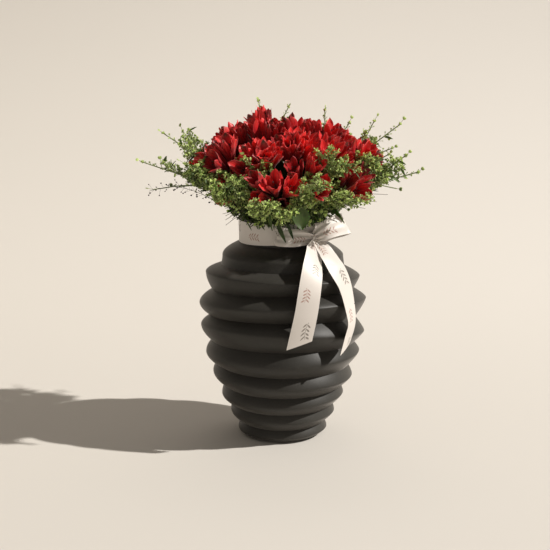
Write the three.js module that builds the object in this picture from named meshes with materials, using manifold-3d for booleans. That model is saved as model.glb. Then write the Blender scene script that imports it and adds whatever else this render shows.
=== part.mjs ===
// A bouquet of red Peruvian lilies and green pennycress in a ridged black stoneware vase, with a
// satin ribbon tied round the vase's neck. Millimetres, +Z up. The origin is the centre of the
// vase's foot, on the surface that it stands on, and -Y is the side with the bow.

import * as THREE from "three";
import Module from "manifold-3d";

const wasm = await Module();
wasm.setup();
const { Manifold, Mesh: ManifoldMesh } = wasm;

// ---------------------------------------------------------------- driving dimensions

const GAP = 0.4; // clearance between pieces that touch in life
const SLIVER = 0.004; // a triangle lower than this is too thin to be a face
const SHORT_EDGE = 0.03; // an edge shorter than this is taken out

// Vase. Each ridge is a tilted disc: its crest's height and radius, how far the crest is lifted at
// the vase's left side, and how far it is lifted at the front.
const RIDGES = [
  { height: 8.3, radius: 63.2, liftLeft: -1, liftFront: 0 },
  { height: 34.2, radius: 73.9, liftLeft: 0.5, liftFront: 0 },
  { height: 59.9, radius: 86.4, liftLeft: -1, liftFront: 0 },
  { height: 89.6, radius: 98.7, liftLeft: 2.5, liftFront: 0 },
  { height: 121.2, radius: 108.5, liftLeft: -1, liftFront: 2 },
  { height: 154.5, radius: 115.2, liftLeft: 4.6, liftFront: 12 },
  { height: 194.2, radius: 117, liftLeft: -3.5, liftFront: 9 },
  { height: 232, radius: 107.7, liftLeft: 3, liftFront: 5 },
  { height: 259, radius: 84.2, liftLeft: 0, liftFront: 0 },
];
const FOOT_RADIUS = 52;
const GROOVE_DEPTH = 0.36; // a groove's depth, as a share of the distance between its two crests
const GROOVE_PLACE = 0.42; // where the groove lies, as a share of the way from one crest up to the next
const CREST_SHARPNESS = 1.55; // 1 is a knife edge, 2 a round one
const CREST_SHARPER_RIGHT = 0.3;
const NECK_RADIUS = 60;
const NECK_BOTTOM = 277;
const RIM_HEIGHT = 312;
const RIM_ROUNDING = 2;
const MOUTH_RADIUS = 53;
const WALL = 7;
const FLOOR = 9;
const VASE_SIDES = 24;

const WATER_LEVEL = 150;

// Ribbon
const RIBBON_WIDTH = 31;
const RIBBON_THICKNESS = 0.8;
const RIBBON_MIDDLE = 293.5; // height of the band's middle line
const GATHERED_WIDTH = 12; // the ribbon's width where the knot pinches it
const TAIL_SPREAD = 7; // how much wider a tail is at each next point, up to its full width
const LOOP_SLACK = 2; // how much narrower than the ribbon a loop is at its widest
const LOOP_STEPS = 8;
const TAIL_STEPS = 7;

// Bouquet. Everything points away from the place in the neck where the stems come together.
const BINDING_HEIGHT = 300;
const STEM_FOOT = 16; // height at which the cut stems end
const STEM_TWIST = 25; // degrees that the stems turn between the neck and their cut ends
const NECK_HEIGHT = 290;
const LIP_HEIGHT = 325; // height at which the stems lean out over the rim
const NECK_SPREAD = 42; // distance from the vase's axis of the outermost stem in the neck
const FOOT_SPREAD = 0.9; // the same distance at the cut ends and at the lip, as a share of it
const LIP_SPREAD = 1.25;
const WIDEST_REACH = 195;
const STEM_TAPER = 0.6; // a stem's upper radius, as a share of its lower one
const ARCH_PLACE = 0.45; // where a stem's upper part arches most, and how much
const ARCH_RISE = 0.1;
const STEM_STEPS = 4;
const BRANCH_STEPS = 3;

// Lily heads: the middle of the mouth of each head's middle flower, the number of flowers in the
// ring round it, how far they lean from it, and the turn of the ring, in degrees.
const HEADS = [
  { mouth: [-100, -25, 408], ring: 5, lean: 33, turn: 20 },
  { mouth: [-76, 38, 430], ring: 5, lean: 33, turn: 0 },
  { mouth: [-34, 28, 442], ring: 4, lean: 30, turn: 45 },
  { mouth: [-48, -52, 408], ring: 5, lean: 34, turn: 10 },
  { mouth: [20, -22, 426], ring: 5, lean: 31, turn: 18 },
  { mouth: [28, 56, 438], ring: 4, lean: 32, turn: 30 },
  { mouth: [78, 34, 430], ring: 5, lean: 32, turn: 15 },
  { mouth: [84, -26, 412], ring: 5, lean: 32, turn: 0 },
  { mouth: [124, -6, 406], ring: 5, lean: 32, turn: 30 },
  { mouth: [110, -62, 374], ring: 4, lean: 32, turn: 20 },
  { mouth: [46, -76, 388], ring: 4, lean: 33, turn: 20 },
  { mouth: [-10, -106, 368], ring: 5, lean: 33, turn: 50 },
  { mouth: [-86, -66, 368], ring: 3, lean: 30, turn: 0 },
  { mouth: [-118, 62, 388], ring: 4, lean: 32, turn: 0 },
  { mouth: [-50, 108, 406], ring: 4, lean: 33, turn: 0 },
  { mouth: [26, 112, 412], ring: 4, lean: 33, turn: 40 },
  { mouth: [98, 86, 406], ring: 4, lean: 33, turn: 10 },
];
const HEAD_LENGTH = 52; // from the flowers' common root to the middle flower's mouth
const HUB_RADIUS = 3.2;
const PEDICEL = 13; // a flower's own stalk
const PEDICEL_RADII = [0.9, 1.6];
const PEDICEL_START = 1.5;
const FLOWER_LENGTH = 45;
const OPENNESS = [1, 0.78, 0]; // an open flower, a funnel and a bud
// Where the parts of an open flower lie: the distance from its axis, and the height above its stalk.
const WAIST = [5.6, 14];
const THROAT = [0, 17];
const NOTCH = [9.8, 26]; // the low place between two petals
const SHOULDER = [15.2, 37];
const SHOULDER_TURN = 29; // degrees from the petal's middle
const OUTER_PETAL = { back: [13.6, 31], face: [12, 32], tip: [16.5, FLOWER_LENGTH - 2] };
const INNER_PETAL = { back: [11.4, 31], face: [10, 32], tip: [12, FLOWER_LENGTH] };
const BUD_LENGTH = 33;
const BUD_RINGS = [[5.2, 11], [4.4, 22]];
const CROWN_START = 16; // above its stalk, where a flower has to keep clear of the others in its head
const FLOWER_TRIES = 5;
const LILY_STEM_RADIUS = 2.4;

// Pennycress: each spray's tips. Its stem ends in the first one, and a branch in each other.
const SPRAYS = [
  [[-192, -4, 387], [-176, -26, 352]],
  [[-166, 26, 424], [-142, 62, 424]],
  [[-130, -62, 391], [-140, -44, 358]],
  [[-80, -98, 367], [-60, -102, 336]],
  [[-50, -92, 402]],
  [[-16, -110, 336]],
  [[24, -114, 350], [56, -108, 370]],
  [[70, -90, 408], [96, -84, 394]],
  [[78, -78, 340], [112, -54, 344]],
  [[140, -52, 402], [154, -32, 354]],
  [[185, -10, 374], [166, -24, 398]],
  [[164, 36, 436], [128, 38, 440]],
  [[95, 62, 436], [60, 60, 454]],
  [[-34, 51, 467], [8, 62, 458]],
  [[118, 116, 402], [156, 62, 400]],
  [[32, 146, 392], [-58, 136, 396]],
  [[-132, 100, 396]],
];
const SPRAY_STEM_RADIUS = 1.3;
const BRANCH_RADIUS = 0.9;
const BRANCH_START = 0.55; // where a branch leaves its stem, as a share of the stem's upper part
const BRANCH_TAPER = 0.8;
const BRANCH_KNEE = 22; // how far a branch follows its stem's direction
const PODS = [4, 3]; // on the end of each stem, and of each branch
const PODDED_STEM = 0.68; // where the pods begin, as a share of the stem's upper part
const PODDED_BRANCH = 0.4;
const POD_TRIES = 3;
const POD_RADIUS = 3.5;
const POD_THICKNESS = 1.4;
const POD_STALK = 13;
const POD_STALK_RADIUS = 0.6;
const LAST_POD = 0.995; // the last pod's place on its twig

// Leaves
const STEM_LEAVES = 3;
const LEAF_TRIES = 4;
const LEAF_LENGTH = 58;
const LEAF_WIDTH = 11;
const LEAF_THICKNESS = 0.9;
const LEAF_SHARES = [0, 0.42, 1]; // where a leaf is its stalk's width, widest, and runs out
const LEAF_STALK = 0.2; // its width at the stem, as a share of its greatest one
const LEAVES_FROM = 0.38; // where the leaves begin, and the share of the stem that they take up
const LEAVES_OVER = 0.5;

// ---------------------------------------------------------------- colours

const colour = (hex, roughness) => new THREE.MeshStandardMaterial({ color: hex, roughness, metalness: 0 });
const STONEWARE = colour(0x24231f, 0.62);
const WATER = colour(0xb9c9c4, 0.1);
const SATIN = colour(0xe6ddd2, 0.38);
const PETAL = colour(0xa20f16, 0.5);
const LEAF = colour(0x4d6a2c, 0.6);
const POD = colour(0x8ba24a, 0.65);

// ---------------------------------------------------------------- small tools

const UP = new THREE.Vector3(0, 0, 1);
const ASLANT = new THREE.Vector3(0.31, 0.83, 0.46); // a direction that no stalk runs along
const GOLDEN_ANGLE = Math.PI * (3 - Math.sqrt(5));
const radians = THREE.MathUtils.degToRad;
const at = (x, y, z) => new THREE.Vector3(x, y, z);
const polar = (radius, angle, z) => at(radius * Math.cos(angle), radius * Math.sin(angle), z);
const label = (index) => String(index + 1).padStart(2, "0");

// Repeatable random numbers from 0 to 1, from a seed of their own.
function dice(...seeds) {
  let state = seeds.reduce((sum, seed) => (sum * 101 + seed + 1) % 65536, 7);
  const roll = () => {
    state = (state * 1664525 + 1013904223) % 4294967296;
    return state / 4294967296;
  };
  for (let i = 0; i < 3; i++) roll();
  return roll;
}

// What a rule gives at each of the angles of a ring with a number of sides.
function ringOf(sides, pointAt) {
  return Array.from({ length: sides }, (_, i) => pointAt((i / sides) * 2 * Math.PI, i));
}

const roundRing = (sides, [radius, z]) => ringOf(sides, (angle) => polar(radius, angle, z));

// Triangles between two loops of vertex numbers that run the same way round.
function bridge(faces, lower, upper) {
  const steps = Math.max(lower.length, upper.length);
  const pick = (loop, i) => loop[Math.floor((i * loop.length) / steps) % loop.length];
  for (let i = 0; i < steps; i++) {
    const [a0, a1] = [pick(lower, i), pick(lower, i + 1)];
    const [b0, b1] = [pick(upper, i), pick(upper, i + 1)];
    if (a0 !== a1) faces.push([a0, a1, b1]);
    if (b0 !== b1) faces.push([a0, b1, b0]);
  }
}

// A solid from points and triangles that face outwards.
function solidFrom(points, faces) {
  const vertProperties = new Float32Array(points.flatMap((p) => p.toArray()));
  const triVerts = new Uint32Array(faces.flat());
  return new Manifold(new ManifoldMesh({ numProp: 3, vertProperties, triVerts }));
}

// A solid whose skin joins rings of points. Each ring runs anticlockwise seen from the next one,
// and a ring with a single point is an end that runs out in a point.
function loft(rings) {
  const loops = [];
  let count = 0;
  for (const ring of rings) {
    loops.push(ring.map((_, i) => count + i));
    count += ring.length;
  }
  const faces = [];
  for (let i = 1; i < loops.length; i++) bridge(faces, loops[i - 1], loops[i]);
  const [first, last] = [loops[0], loops.at(-1)];
  for (let i = 1; i + 1 < first.length; i++) faces.push([first[0], first[i + 1], first[i]]);
  for (let i = 1; i + 1 < last.length; i++) faces.push([last[0], last[i], last[i + 1]]);
  return solidFrom(rings.flat(), faces);
}

// Points spread evenly along a smooth curve through a few given ones.
function smooth(points, steps) {
  return new THREE.CatmullRomCurve3(points, false, "centripetal").getPoints(steps);
}

const toPoints = (list) => list.map(([x, y, z]) => at(x, y, z));

// The point at a share of the way along a line of points, and the line's direction there.
function along(points, share) {
  const place = share * (points.length - 1);
  const i = Math.min(Math.floor(place), points.length - 2);
  const [from, to] = [points[i], points[i + 1]];
  return { point: from.clone().lerp(to, place - i), way: to.clone().sub(from).normalize() };
}

// The direction of a line of points at one of them.
function tangentAt(points, i) {
  const [before, after] = [points[Math.max(i - 1, 0)], points[Math.min(i + 1, points.length - 1)]];
  return after.clone().sub(before).normalize();
}

// A stalk along points, with as many sides as given, that thins from one radius to another.
function stalk(points, radius, endRadius, sides) {
  let across = new THREE.Vector3().crossVectors(tangentAt(points, 0), ASLANT).normalize();
  const rings = points.map((point, i) => {
    const way = tangentAt(points, i);
    across = across.clone().addScaledVector(way, -across.dot(way)).normalize();
    const other = new THREE.Vector3().crossVectors(way, across);
    const r = radius + ((endRadius - radius) * i) / (points.length - 1);
    return ringOf(sides, (angle) => {
      const [x, y] = [r * Math.cos(angle), r * Math.sin(angle)];
      return point.clone().addScaledVector(across, x).addScaledVector(other, y);
    });
  });
  return loft(rings);
}

// A flat strip along points, with its width at each point and the direction of the width there.
function strip(points, widths, across, thickness) {
  const rings = points.map((point, i) => {
    if (widths[i] === 0) return [point];
    const side = across[i].clone().normalize();
    const out = new THREE.Vector3().crossVectors(tangentAt(points, i), side).normalize();
    const [half, deep] = [widths[i] / 2, thickness / 2];
    const corner = (x, y) => point.clone().addScaledVector(side, x).addScaledVector(out, y);
    return [corner(-half, -deep), corner(half, -deep), corner(half, deep), corner(-half, deep)];
  });
  return loft(rings);
}

// The matrix that stands a piece made along +Z on a point, facing a direction, turned about it.
function standing(point, direction, spin = 0) {
  const turn = new THREE.Quaternion().setFromUnitVectors(UP, direction.clone().normalize());
  turn.multiply(new THREE.Quaternion().setFromAxisAngle(UP, spin));
  return new THREE.Matrix4().compose(point, turn, at(1, 1, 1));
}

const placed = (solid, matrix) => solid.transform(matrix.elements);

// A direction that leans from an axis by one angle, on the side that a second one gives.
function leaning(axis, lean, round) {
  const side = new THREE.Vector3().crossVectors(axis, at(0, 1, 0)).normalize();
  return axis.clone().applyAxisAngle(side, lean).applyAxisAngle(axis, round);
}

// ---------------------------------------------------------------- what is built so far

const nodes = new Map(); // each node's name, with its solids, their boxes and its material

const boxesMeet = (a, b) => [0, 1, 2].every((i) => a.min[i] - GAP < b.max[i] && b.min[i] - GAP < a.max[i]);

// Whether a piece keeps its distance from the nodes that it doesn't belong to.
function isClear(piece, ownNames) {
  const box = piece.boundingBox();
  for (const [name, node] of nodes) {
    if (ownNames.includes(name)) continue;
    for (const other of node.solids) {
      if (boxesMeet(box, other.box) && piece.minGap(other.solid, GAP) < GAP) return false;
    }
  }
  return true;
}

function add(name, solid, material) {
  if (!nodes.has(name)) nodes.set(name, { solids: [], material });
  nodes.get(name).solids.push({ solid, box: solid.boundingBox() });
}

// ---------------------------------------------------------------- vase and water

const crestHeight = (ridge, angle) =>
  ridge.height - ridge.liftLeft * Math.cos(angle) - ridge.liftFront * Math.sin(angle);

// The groove between a ridge and the one above it.
function groove(lower, upper, angle) {
  const [bottom, top] = [crestHeight(lower, angle), crestHeight(upper, angle)];
  return {
    height: bottom + (top - bottom) * GROOVE_PLACE,
    radius: (lower.radius + upper.radius) / 2 - (upper.height - lower.height) * GROOVE_DEPTH,
  };
}

// The outside of the vase at one angle, from the foot up to the rim.
function vaseProfile(angle) {
  const sharpness = CREST_SHARPNESS - CREST_SHARPER_RIGHT * Math.cos(angle);
  const between = (crest, low, share) => [
    low.radius + (crest.radius - low.radius) * (1 - share ** sharpness),
    crest.height + (low.height - crest.height) * share,
  ];
  const crests = RIDGES.map((ridge) => ({ radius: ridge.radius, height: crestHeight(ridge, angle) }));
  const grooves = RIDGES.slice(1).map((ridge, i) => groove(RIDGES[i], ridge, angle));
  const neck = { radius: NECK_RADIUS, height: NECK_BOTTOM };
  const outline = [[FOOT_RADIUS, 0]];
  crests.forEach((crest, i) => {
    if (i > 0) outline.push(between(crest, grooves[i - 1], 0.5));
    outline.push([crest.radius, crest.height]);
    const above = grooves[i] ?? neck;
    outline.push(between(crest, above, 0.5), [above.radius, above.height]);
  });
  outline.push([NECK_RADIUS, RIM_HEIGHT - RIM_ROUNDING], [NECK_RADIUS - RIM_ROUNDING, RIM_HEIGHT]);
  return outline;
}

// The cavity, from under the mouth down to the floor, a wall's thickness inside the grooves.
function cavityProfile(inset = 0) {
  const outline = [[MOUTH_RADIUS - inset, NECK_BOTTOM - WALL]];
  for (let i = RIDGES.length - 2; i > 0; i--) {
    const { radius, height } = groove(RIDGES[i], RIDGES[i + 1], Math.PI);
    outline.push([radius - WALL - inset, height]);
  }
  outline.push([FOOT_RADIUS - WALL - inset, FLOOR + inset]);
  return outline;
}

function makeVase() {
  const profiles = ringOf(VASE_SIDES, (angle) => vaseProfile(angle));
  const outside = profiles[0].map((_, row) =>
    ringOf(VASE_SIDES, (angle, i) => polar(profiles[i][row][0], angle, profiles[i][row][1])),
  );
  const inside = [[MOUTH_RADIUS, RIM_HEIGHT], ...cavityProfile()];
  add("vase", loft([...outside, ...inside.map((point) => roundRing(VASE_SIDES / 2, point))]), STONEWARE);
}

// Water up to its level, with a plain hole where each stem stands in it.
function makeWater(holes) {
  const below = cavityProfile(GAP).filter(([, z]) => z < WATER_LEVEL);
  const surface = [below[0][0], WATER_LEVEL];
  const body = loft([...below.reverse(), surface].map((point) => roundRing(VASE_SIDES / 2, point)));
  add("water", body.subtract(Manifold.union(holes)), WATER);
}

// ---------------------------------------------------------------- ribbon

function makeBand() {
  const [inner, outer] = [NECK_RADIUS + GAP, NECK_RADIUS + GAP + RIBBON_THICKNESS];
  const [low, high] = [RIBBON_MIDDLE - RIBBON_WIDTH / 2, RIBBON_MIDDLE + RIBBON_WIDTH / 2];
  const hull = loft([roundRing(VASE_SIDES, [outer, low]), roundRing(VASE_SIDES, [outer, high])]);
  const hole = loft([roundRing(VASE_SIDES, [inner, low - 1]), roundRing(VASE_SIDES, [inner, high + 1])]);
  add("ribbon_band", hull.subtract(hole), SATIN);
}

// The bow: two loops and two tails from a knot in front of the band, each along a few points.
const KNOT_ANGLE = -51; // degrees round the vase, from +X
const KNOT_HEIGHT = 289;
const KNOT_OUT = 1.8; // from the neck's surface
const KNOT_RINGS = [[8, 0], [9.5, 4], [6, 9]]; // radius and distance outwards
const LEFT_LOOP = [
  [40, -58, 290],
  [26, -70, 292],
  [10, -76, 292],
  [-5, -73, 292],
  [-7, -68, 292],
  [8, -69, 291],
  [34, -61, 289],
];
const LEFT_LOOP_ACROSS = [0.1, 0.4, 0.9]; // the direction of the loop's width
const RIGHT_LOOP = [
  [43, -55, 291],
  [56, -58, 300],
  [72, -50, 306],
  [85, -38, 307],
  [79, -36, 303],
  [64, -45, 298],
  [48, -52, 288],
];
const RIGHT_LOOP_ACROSS = [-0.45, 0.2, 0.87];
const FRONT_TAIL = [
  [43, -54, 286],
  [42, -76, 274],
  [39, -102, 256],
  [35, -117, 232],
  [30, -122, 200],
  [21, -123, 158],
];
const SIDE_TAIL = [
  [44, -54, 286],
  [56, -64, 275],
  [69, -76, 257],
  [82, -79, 233],
  [90, -79, 202],
  [93, -80, 178],
  [88, -83, 158],
  [81, -86, 141],
];
const SIDE_TAIL_TURN = 26; // degrees that the side tail turns away from the vase on its way down

function makeBow() {
  const loop = (list, across) => {
    const points = smooth(toPoints(list), LOOP_STEPS);
    const spread = RIBBON_WIDTH - GATHERED_WIDTH - LOOP_SLACK;
    const widths = points.map((_, i) => GATHERED_WIDTH + spread * Math.sin((Math.PI * i) / LOOP_STEPS));
    return strip(points, widths, points.map(() => at(...across)), RIBBON_THICKNESS);
  };
  const tail = (list, turn) => {
    const points = smooth(toPoints(list), TAIL_STEPS);
    const widths = points.map((_, i) => Math.min(GATHERED_WIDTH + TAIL_SPREAD * i, RIBBON_WIDTH));
    const across = points.map((point, i) => {
      const way = tangentAt(points, i);
      const round = new THREE.Vector3().crossVectors(at(point.x, point.y, 0), way);
      return round.applyAxisAngle(way, (-radians(turn) * i) / TAIL_STEPS);
    });
    return strip(points, widths, across, RIBBON_THICKNESS);
  };
  const knot = loft(KNOT_RINGS.map((point) => roundRing(8, point)));
  const knotRoot = polar(NECK_RADIUS + KNOT_OUT, radians(KNOT_ANGLE), KNOT_HEIGHT);
  const pieces = [
    placed(knot, standing(knotRoot, at(knotRoot.x, knotRoot.y, 0))),
    loop(LEFT_LOOP, LEFT_LOOP_ACROSS),
    loop(RIGHT_LOOP, RIGHT_LOOP_ACROSS),
    tail(FRONT_TAIL, 0),
    tail(SIDE_TAIL, SIDE_TAIL_TURN),
  ];
  add("ribbon_bow", Manifold.union(pieces), SATIN);
}

// ---------------------------------------------------------------- stems

// A stem's cut end, and the points of its way from the neck over the lip and out to its end.
function stemPath(end) {
  const away = Math.atan2(end.y, end.x);
  const reach = Math.hypot(end.x, end.y);
  const inNeck = NECK_SPREAD * (reach / WIDEST_REACH) ** 0.8;
  const foot = polar(inNeck * FOOT_SPREAD, away + radians(STEM_TWIST), STEM_FOOT);
  const neck = polar(inNeck, away, NECK_HEIGHT);
  const lip = polar(inNeck * LIP_SPREAD, away, LIP_HEIGHT);
  const rise = (end.z - LIP_HEIGHT) * ARCH_RISE;
  const middle = lip.clone().lerp(end, ARCH_PLACE).addScaledVector(UP, rise);
  return { foot, upper: smooth([neck, lip, middle, end], STEM_STEPS) };
}

const HOLE_SHARES = [-0.002, 0.6]; // from just under a stem's foot to above the water

// A stem. It gives back the points of its upper part, and the hole that it stands in.
function makeStem(name, end, radius, sides, material) {
  const { foot, upper } = stemPath(end);
  add(name, stalk([foot, ...upper], radius, radius * STEM_TAPER, sides), material);
  const [below, above] = HOLE_SHARES.map((share) => foot.clone().lerp(upper[0], share));
  return { upper, hole: stalk([below, above], radius + GAP * 2, radius + GAP * 2, sides) };
}

// ---------------------------------------------------------------- lilies

// One flower on its stalk, along +Z from its root: three broad outer petals and three narrow inner
// ones, which part at their upper halves.
function flower(openness, length) {
  const stretch = length / (PEDICEL + FLOWER_LENGTH);
  const points = [];
  const faces = [];
  const vertex = (radius, angle, z) => points.push(polar(radius, angle, z * stretch)) - 1;
  const ring = (sides, radius, z) => ringOf(sides, (angle) => vertex(radius, angle, z));
  const open = ([radius, z], angle) => vertex(radius * openness, angle, PEDICEL + z);
  const root = ring(3, PEDICEL_RADII[0], PEDICEL_START);
  const neck = ring(3, PEDICEL_RADII[1], PEDICEL);
  const waist = ring(6, WAIST[0], PEDICEL + WAIST[1]);
  const throat = open(THROAT, 0);
  const notches = ringOf(6, (angle) => open(NOTCH, angle + Math.PI / 6));
  faces.push([root[0], root[2], root[1]]);
  bridge(faces, root, neck);
  bridge(faces, neck, waist);
  ringOf(6, (angle, i) => {
    const outer = i % 2 === 0;
    const [left, right] = [notches[(i + 5) % 6], notches[i]];
    const petal = outer ? OUTER_PETAL : INNER_PETAL;
    const [back, face, tip] = [petal.back, petal.face, petal.tip].map((place) => open(place, angle));
    const shoulder = (side) => open(SHOULDER, angle + side * radians(SHOULDER_TURN));
    const edge = outer ? [left, shoulder(-1), tip, shoulder(1), right] : [left, tip, right];
    faces.push([waist[i], waist[(i + 1) % 6], right], [waist[i], right, back], [waist[i], back, left]);
    faces.push([throat, left, face], [throat, face, right]);
    for (let k = 0; k + 1 < edge.length; k++) {
      faces.push([back, edge[k + 1], edge[k]], [face, edge[k], edge[k + 1]]);
    }
  });
  return solidFrom(points, faces);
}

// A closed bud on its stalk, along +Z from its root.
function bud(length) {
  const stretch = length / (PEDICEL + FLOWER_LENGTH);
  const stalkRing = (radius, z) => roundRing(3, [radius, z * stretch]);
  const lower = stalkRing(PEDICEL_RADII[0], PEDICEL_START);
  const upper = stalkRing(PEDICEL_RADII[1], PEDICEL);
  const body = BUD_RINGS.map(([radius, z]) => roundRing(5, [radius, (PEDICEL + z) * stretch]));
  return loft([lower, upper, ...body, [at(0, 0, (PEDICEL + BUD_LENGTH) * stretch)]]);
}

// Where a head's flowers spring from, and which way the head faces.
function headPose(head) {
  const mouth = at(...head.mouth);
  const axis = mouth.clone().sub(at(0, 0, BINDING_HEIGHT)).normalize();
  return { axis, root: mouth.clone().addScaledVector(axis, -HEAD_LENGTH) };
}

// One try at a place for a head's flower: the first in the middle, and the rest in a ring round it.
function flowerPlace(h, i, attempt) {
  const head = HEADS[h];
  const random = dice(1, h, i, attempt);
  const { axis, root } = headPose(head);
  const lean = i === 0 ? 2 + 5 * random() : head.lean + (8 + 3 * attempt) * (random() - 0.5);
  const round = head.turn + (i * 360) / head.ring + (12 + 8 * attempt) * (random() - 0.5);
  const length = (PEDICEL + FLOWER_LENGTH) * (0.92 + 0.16 * random());
  const spin = random() * 2 * Math.PI;
  return { length, matrix: standing(root, leaning(axis, radians(lean), radians(round)), spin) };
}

const crowns = HEADS.map(() => []); // each head's flowers, without their stalks

// The flower goes where the first try that crosses nothing puts it, as open as there is room for.
// Flowers of one head may only meet below their petals.
function makeFlower(h, i) {
  const name = "lily_head_" + label(h);
  const ownNames = [name, "lily_stem_" + label(h)];
  for (const openness of OPENNESS) {
    for (let attempt = 0; attempt < FLOWER_TRIES; attempt++) {
      const place = flowerPlace(h, i, attempt);
      const whole = openness > 0 ? flower(openness, place.length) : bud(place.length);
      const candidate = placed(whole, place.matrix);
      const crown = placed(whole.trimByPlane([0, 0, 1], PEDICEL + CROWN_START), place.matrix);
      const crossed = crowns[h].some((other) => crown.minGap(other, GAP) < GAP);
      if (crossed || !isClear(candidate, ownNames)) continue;
      crowns[h].push(crown);
      add(name, candidate, PETAL);
      return;
    }
  }
}

// The small swelling where a head's flowers spring from its stem.
function makeHub(h) {
  const { root, axis } = headPose(HEADS[h]);
  const outline = [[1.4, -HUB_RADIUS], [2.6, 0], [1.4, HUB_RADIUS]];
  const hub = loft(outline.map((point) => roundRing(4, point)));
  add("lily_head_" + label(h), placed(hub, standing(root, axis)), PETAL);
}

// ---------------------------------------------------------------- pennycress

// The points of a branch that leaves a spray's stem for a tip of its own.
function branchPath(stem, tip) {
  const { point, way } = along(stem, BRANCH_START);
  const knee = point.clone().addScaledVector(way, BRANCH_KNEE).lerp(tip, 0.3);
  return smooth([point, knee, tip], BRANCH_STEPS);
}

// A flat pod on its stalk, which runs along +Z from its root.
function pod(length) {
  const waist = ringOf(4, (angle) => {
    const [wide, flat] = [POD_RADIUS * Math.cos(angle), (POD_THICKNESS / 2) * Math.sin(angle)];
    return at(wide, flat, length);
  });
  const [root, neck] = [0, length - POD_RADIUS].map((z) => roundRing(3, [POD_STALK_RADIUS, z]));
  return loft([root, neck, waist, [at(0, 0, length + POD_RADIUS)]]);
}

// One try at a pod's place on a twig: its length with its stalk, and the matrix that stands it there.
function podPlace(twig, start, count, seeds, i) {
  const random = dice(2, ...seeds, i);
  const nearTip = i / (count - 1);
  const { point, way } = along(twig, start + (LAST_POD - start) * nearTip);
  const lean = i === count - 1 ? 8 : 50 + 30 * random();
  const out = leaning(way, radians(lean), i * GOLDEN_ANGLE + 0.8 * random()).addScaledVector(UP, 0.2);
  const length = POD_STALK * (0.7 + 0.8 * random()) * (1.35 - 0.6 * nearTip);
  return { length, matrix: standing(point, out, random() * 2 * Math.PI) };
}

function makePods(name, twig, start, count, seeds) {
  for (let i = 0; i < count; i++) {
    for (let attempt = 0; attempt < POD_TRIES; attempt++) {
      const place = podPlace(twig, start, count, [...seeds, attempt], i);
      const whole = pod(place.length);
      const candidate = placed(whole, place.matrix);
      const disc = placed(whole.trimByPlane([0, 0, 1], place.length - POD_RADIUS), place.matrix);
      if (!isClear(disc, []) || !isClear(candidate, [name])) continue;
      add(name, candidate, POD);
      break;
    }
  }
}

// ---------------------------------------------------------------- leaves

// A pointed leaf that droops, with its width level.
function leaf(root, way, length, width, droop) {
  const side = new THREE.Vector3().crossVectors(way, UP).normalize();
  const points = LEAF_SHARES.map((share) =>
    root.clone().addScaledVector(way, share * length).addScaledVector(UP, -droop * length * share ** 2),
  );
  return strip(points, [width * LEAF_STALK, width, 0], points.map(() => side), LEAF_THICKNESS);
}

function makeLeaves(name, stem, count, seed, material) {
  for (let i = 0; i < count; i++) {
    for (let attempt = 0; attempt < LEAF_TRIES; attempt++) {
      const random = dice(3, seed, i, attempt);
      const { point, way } = along(stem, LEAVES_FROM + (LEAVES_OVER * (i + random())) / count);
      const out = leaning(way, radians(38 + 22 * random()), i * 2 * GOLDEN_ANGLE + 2 * random());
      const length = LEAF_LENGTH * (0.75 + 0.5 * random());
      const candidate = leaf(point, out, length, LEAF_WIDTH, 0.1 + 0.3 * random());
      if (!isClear(candidate, [name])) continue;
      add(name, candidate, material);
      break;
    }
  }
}

// ---------------------------------------------------------------- the bouquet in its vase

makeVase();
makeBand();
makeBow();

const holes = [];
const lilyStems = HEADS.map((head, h) => {
  const { root, axis } = headPose(head);
  const end = root.clone().addScaledVector(axis, -HUB_RADIUS - 2 * GAP);
  const stem = makeStem("lily_stem_" + label(h), end, LILY_STEM_RADIUS, 4, LEAF);
  holes.push(stem.hole);
  return stem.upper;
});
const sprays = SPRAYS.map((tips, s) => {
  const name = "pennycress_" + label(s);
  const points = toPoints(tips);
  const stem = makeStem(name, points[0], SPRAY_STEM_RADIUS, 3, POD);
  holes.push(stem.hole);
  const branches = points.slice(1).map((tip) => branchPath(stem.upper, tip));
  for (const branch of branches) add(name, stalk(branch, BRANCH_RADIUS, BRANCH_RADIUS * 0.8, 3), POD);
  return { name, twigs: [stem.upper, ...branches] };
});
makeWater(holes);

HEADS.forEach((_, h) => makeHub(h));
HEADS.forEach((_, h) => makeFlower(h, 0));
HEADS.forEach((head, h) => {
  for (let i = 1; i <= head.ring; i++) makeFlower(h, i);
});
sprays.forEach(({ name, twigs }, s) => {
  const [stem, ...branches] = twigs;
  makePods(name, stem, PODDED_STEM, PODS[0], [s, 0]);
  branches.forEach((branch, b) => makePods(name, branch, PODDED_BRANCH, PODS[1], [s, b + 1]));
});
lilyStems.forEach((stem, h) => makeLeaves("lily_stem_" + label(h), stem, STEM_LEAVES, h, LEAF));

// ---------------------------------------------------------------- joined solids made clean

// The longest and shortest side of a triangle and its height over the longest, with the corner
// that each side starts from.
function measured(points, face) {
  const sides = face.map((corner, k) => points[corner].distanceTo(points[face[(k + 1) % 3]]));
  const [longest, shortest] = [Math.max(...sides), Math.min(...sides)];
  const area = new THREE.Triangle(...face.map((corner) => points[corner])).getArea();
  return {
    height: (2 * area) / longest,
    shortest,
    longFrom: sides.indexOf(longest),
    shortFrom: sides.indexOf(shortest),
  };
}

// The corners that share an edge with a given one.
const neighboursOf = (faces, corner) =>
  new Set(faces.filter((face) => face.includes(corner)).flat().filter((other) => other !== corner));

// Merges a triangle's two nearest corners, if that leaves the skin closed.
function collapsed(faces, face, from) {
  const [kept, gone] = [face[from], face[(from + 1) % 3]];
  const around = neighboursOf(faces, gone);
  const shared = [...neighboursOf(faces, kept)].filter((corner) => around.has(corner));
  if (shared.length !== 2) return null;
  return faces
    .map((other) => other.map((corner) => (corner === gone ? kept : corner)))
    .filter((other) => new Set(other).size === 3);
}

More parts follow.
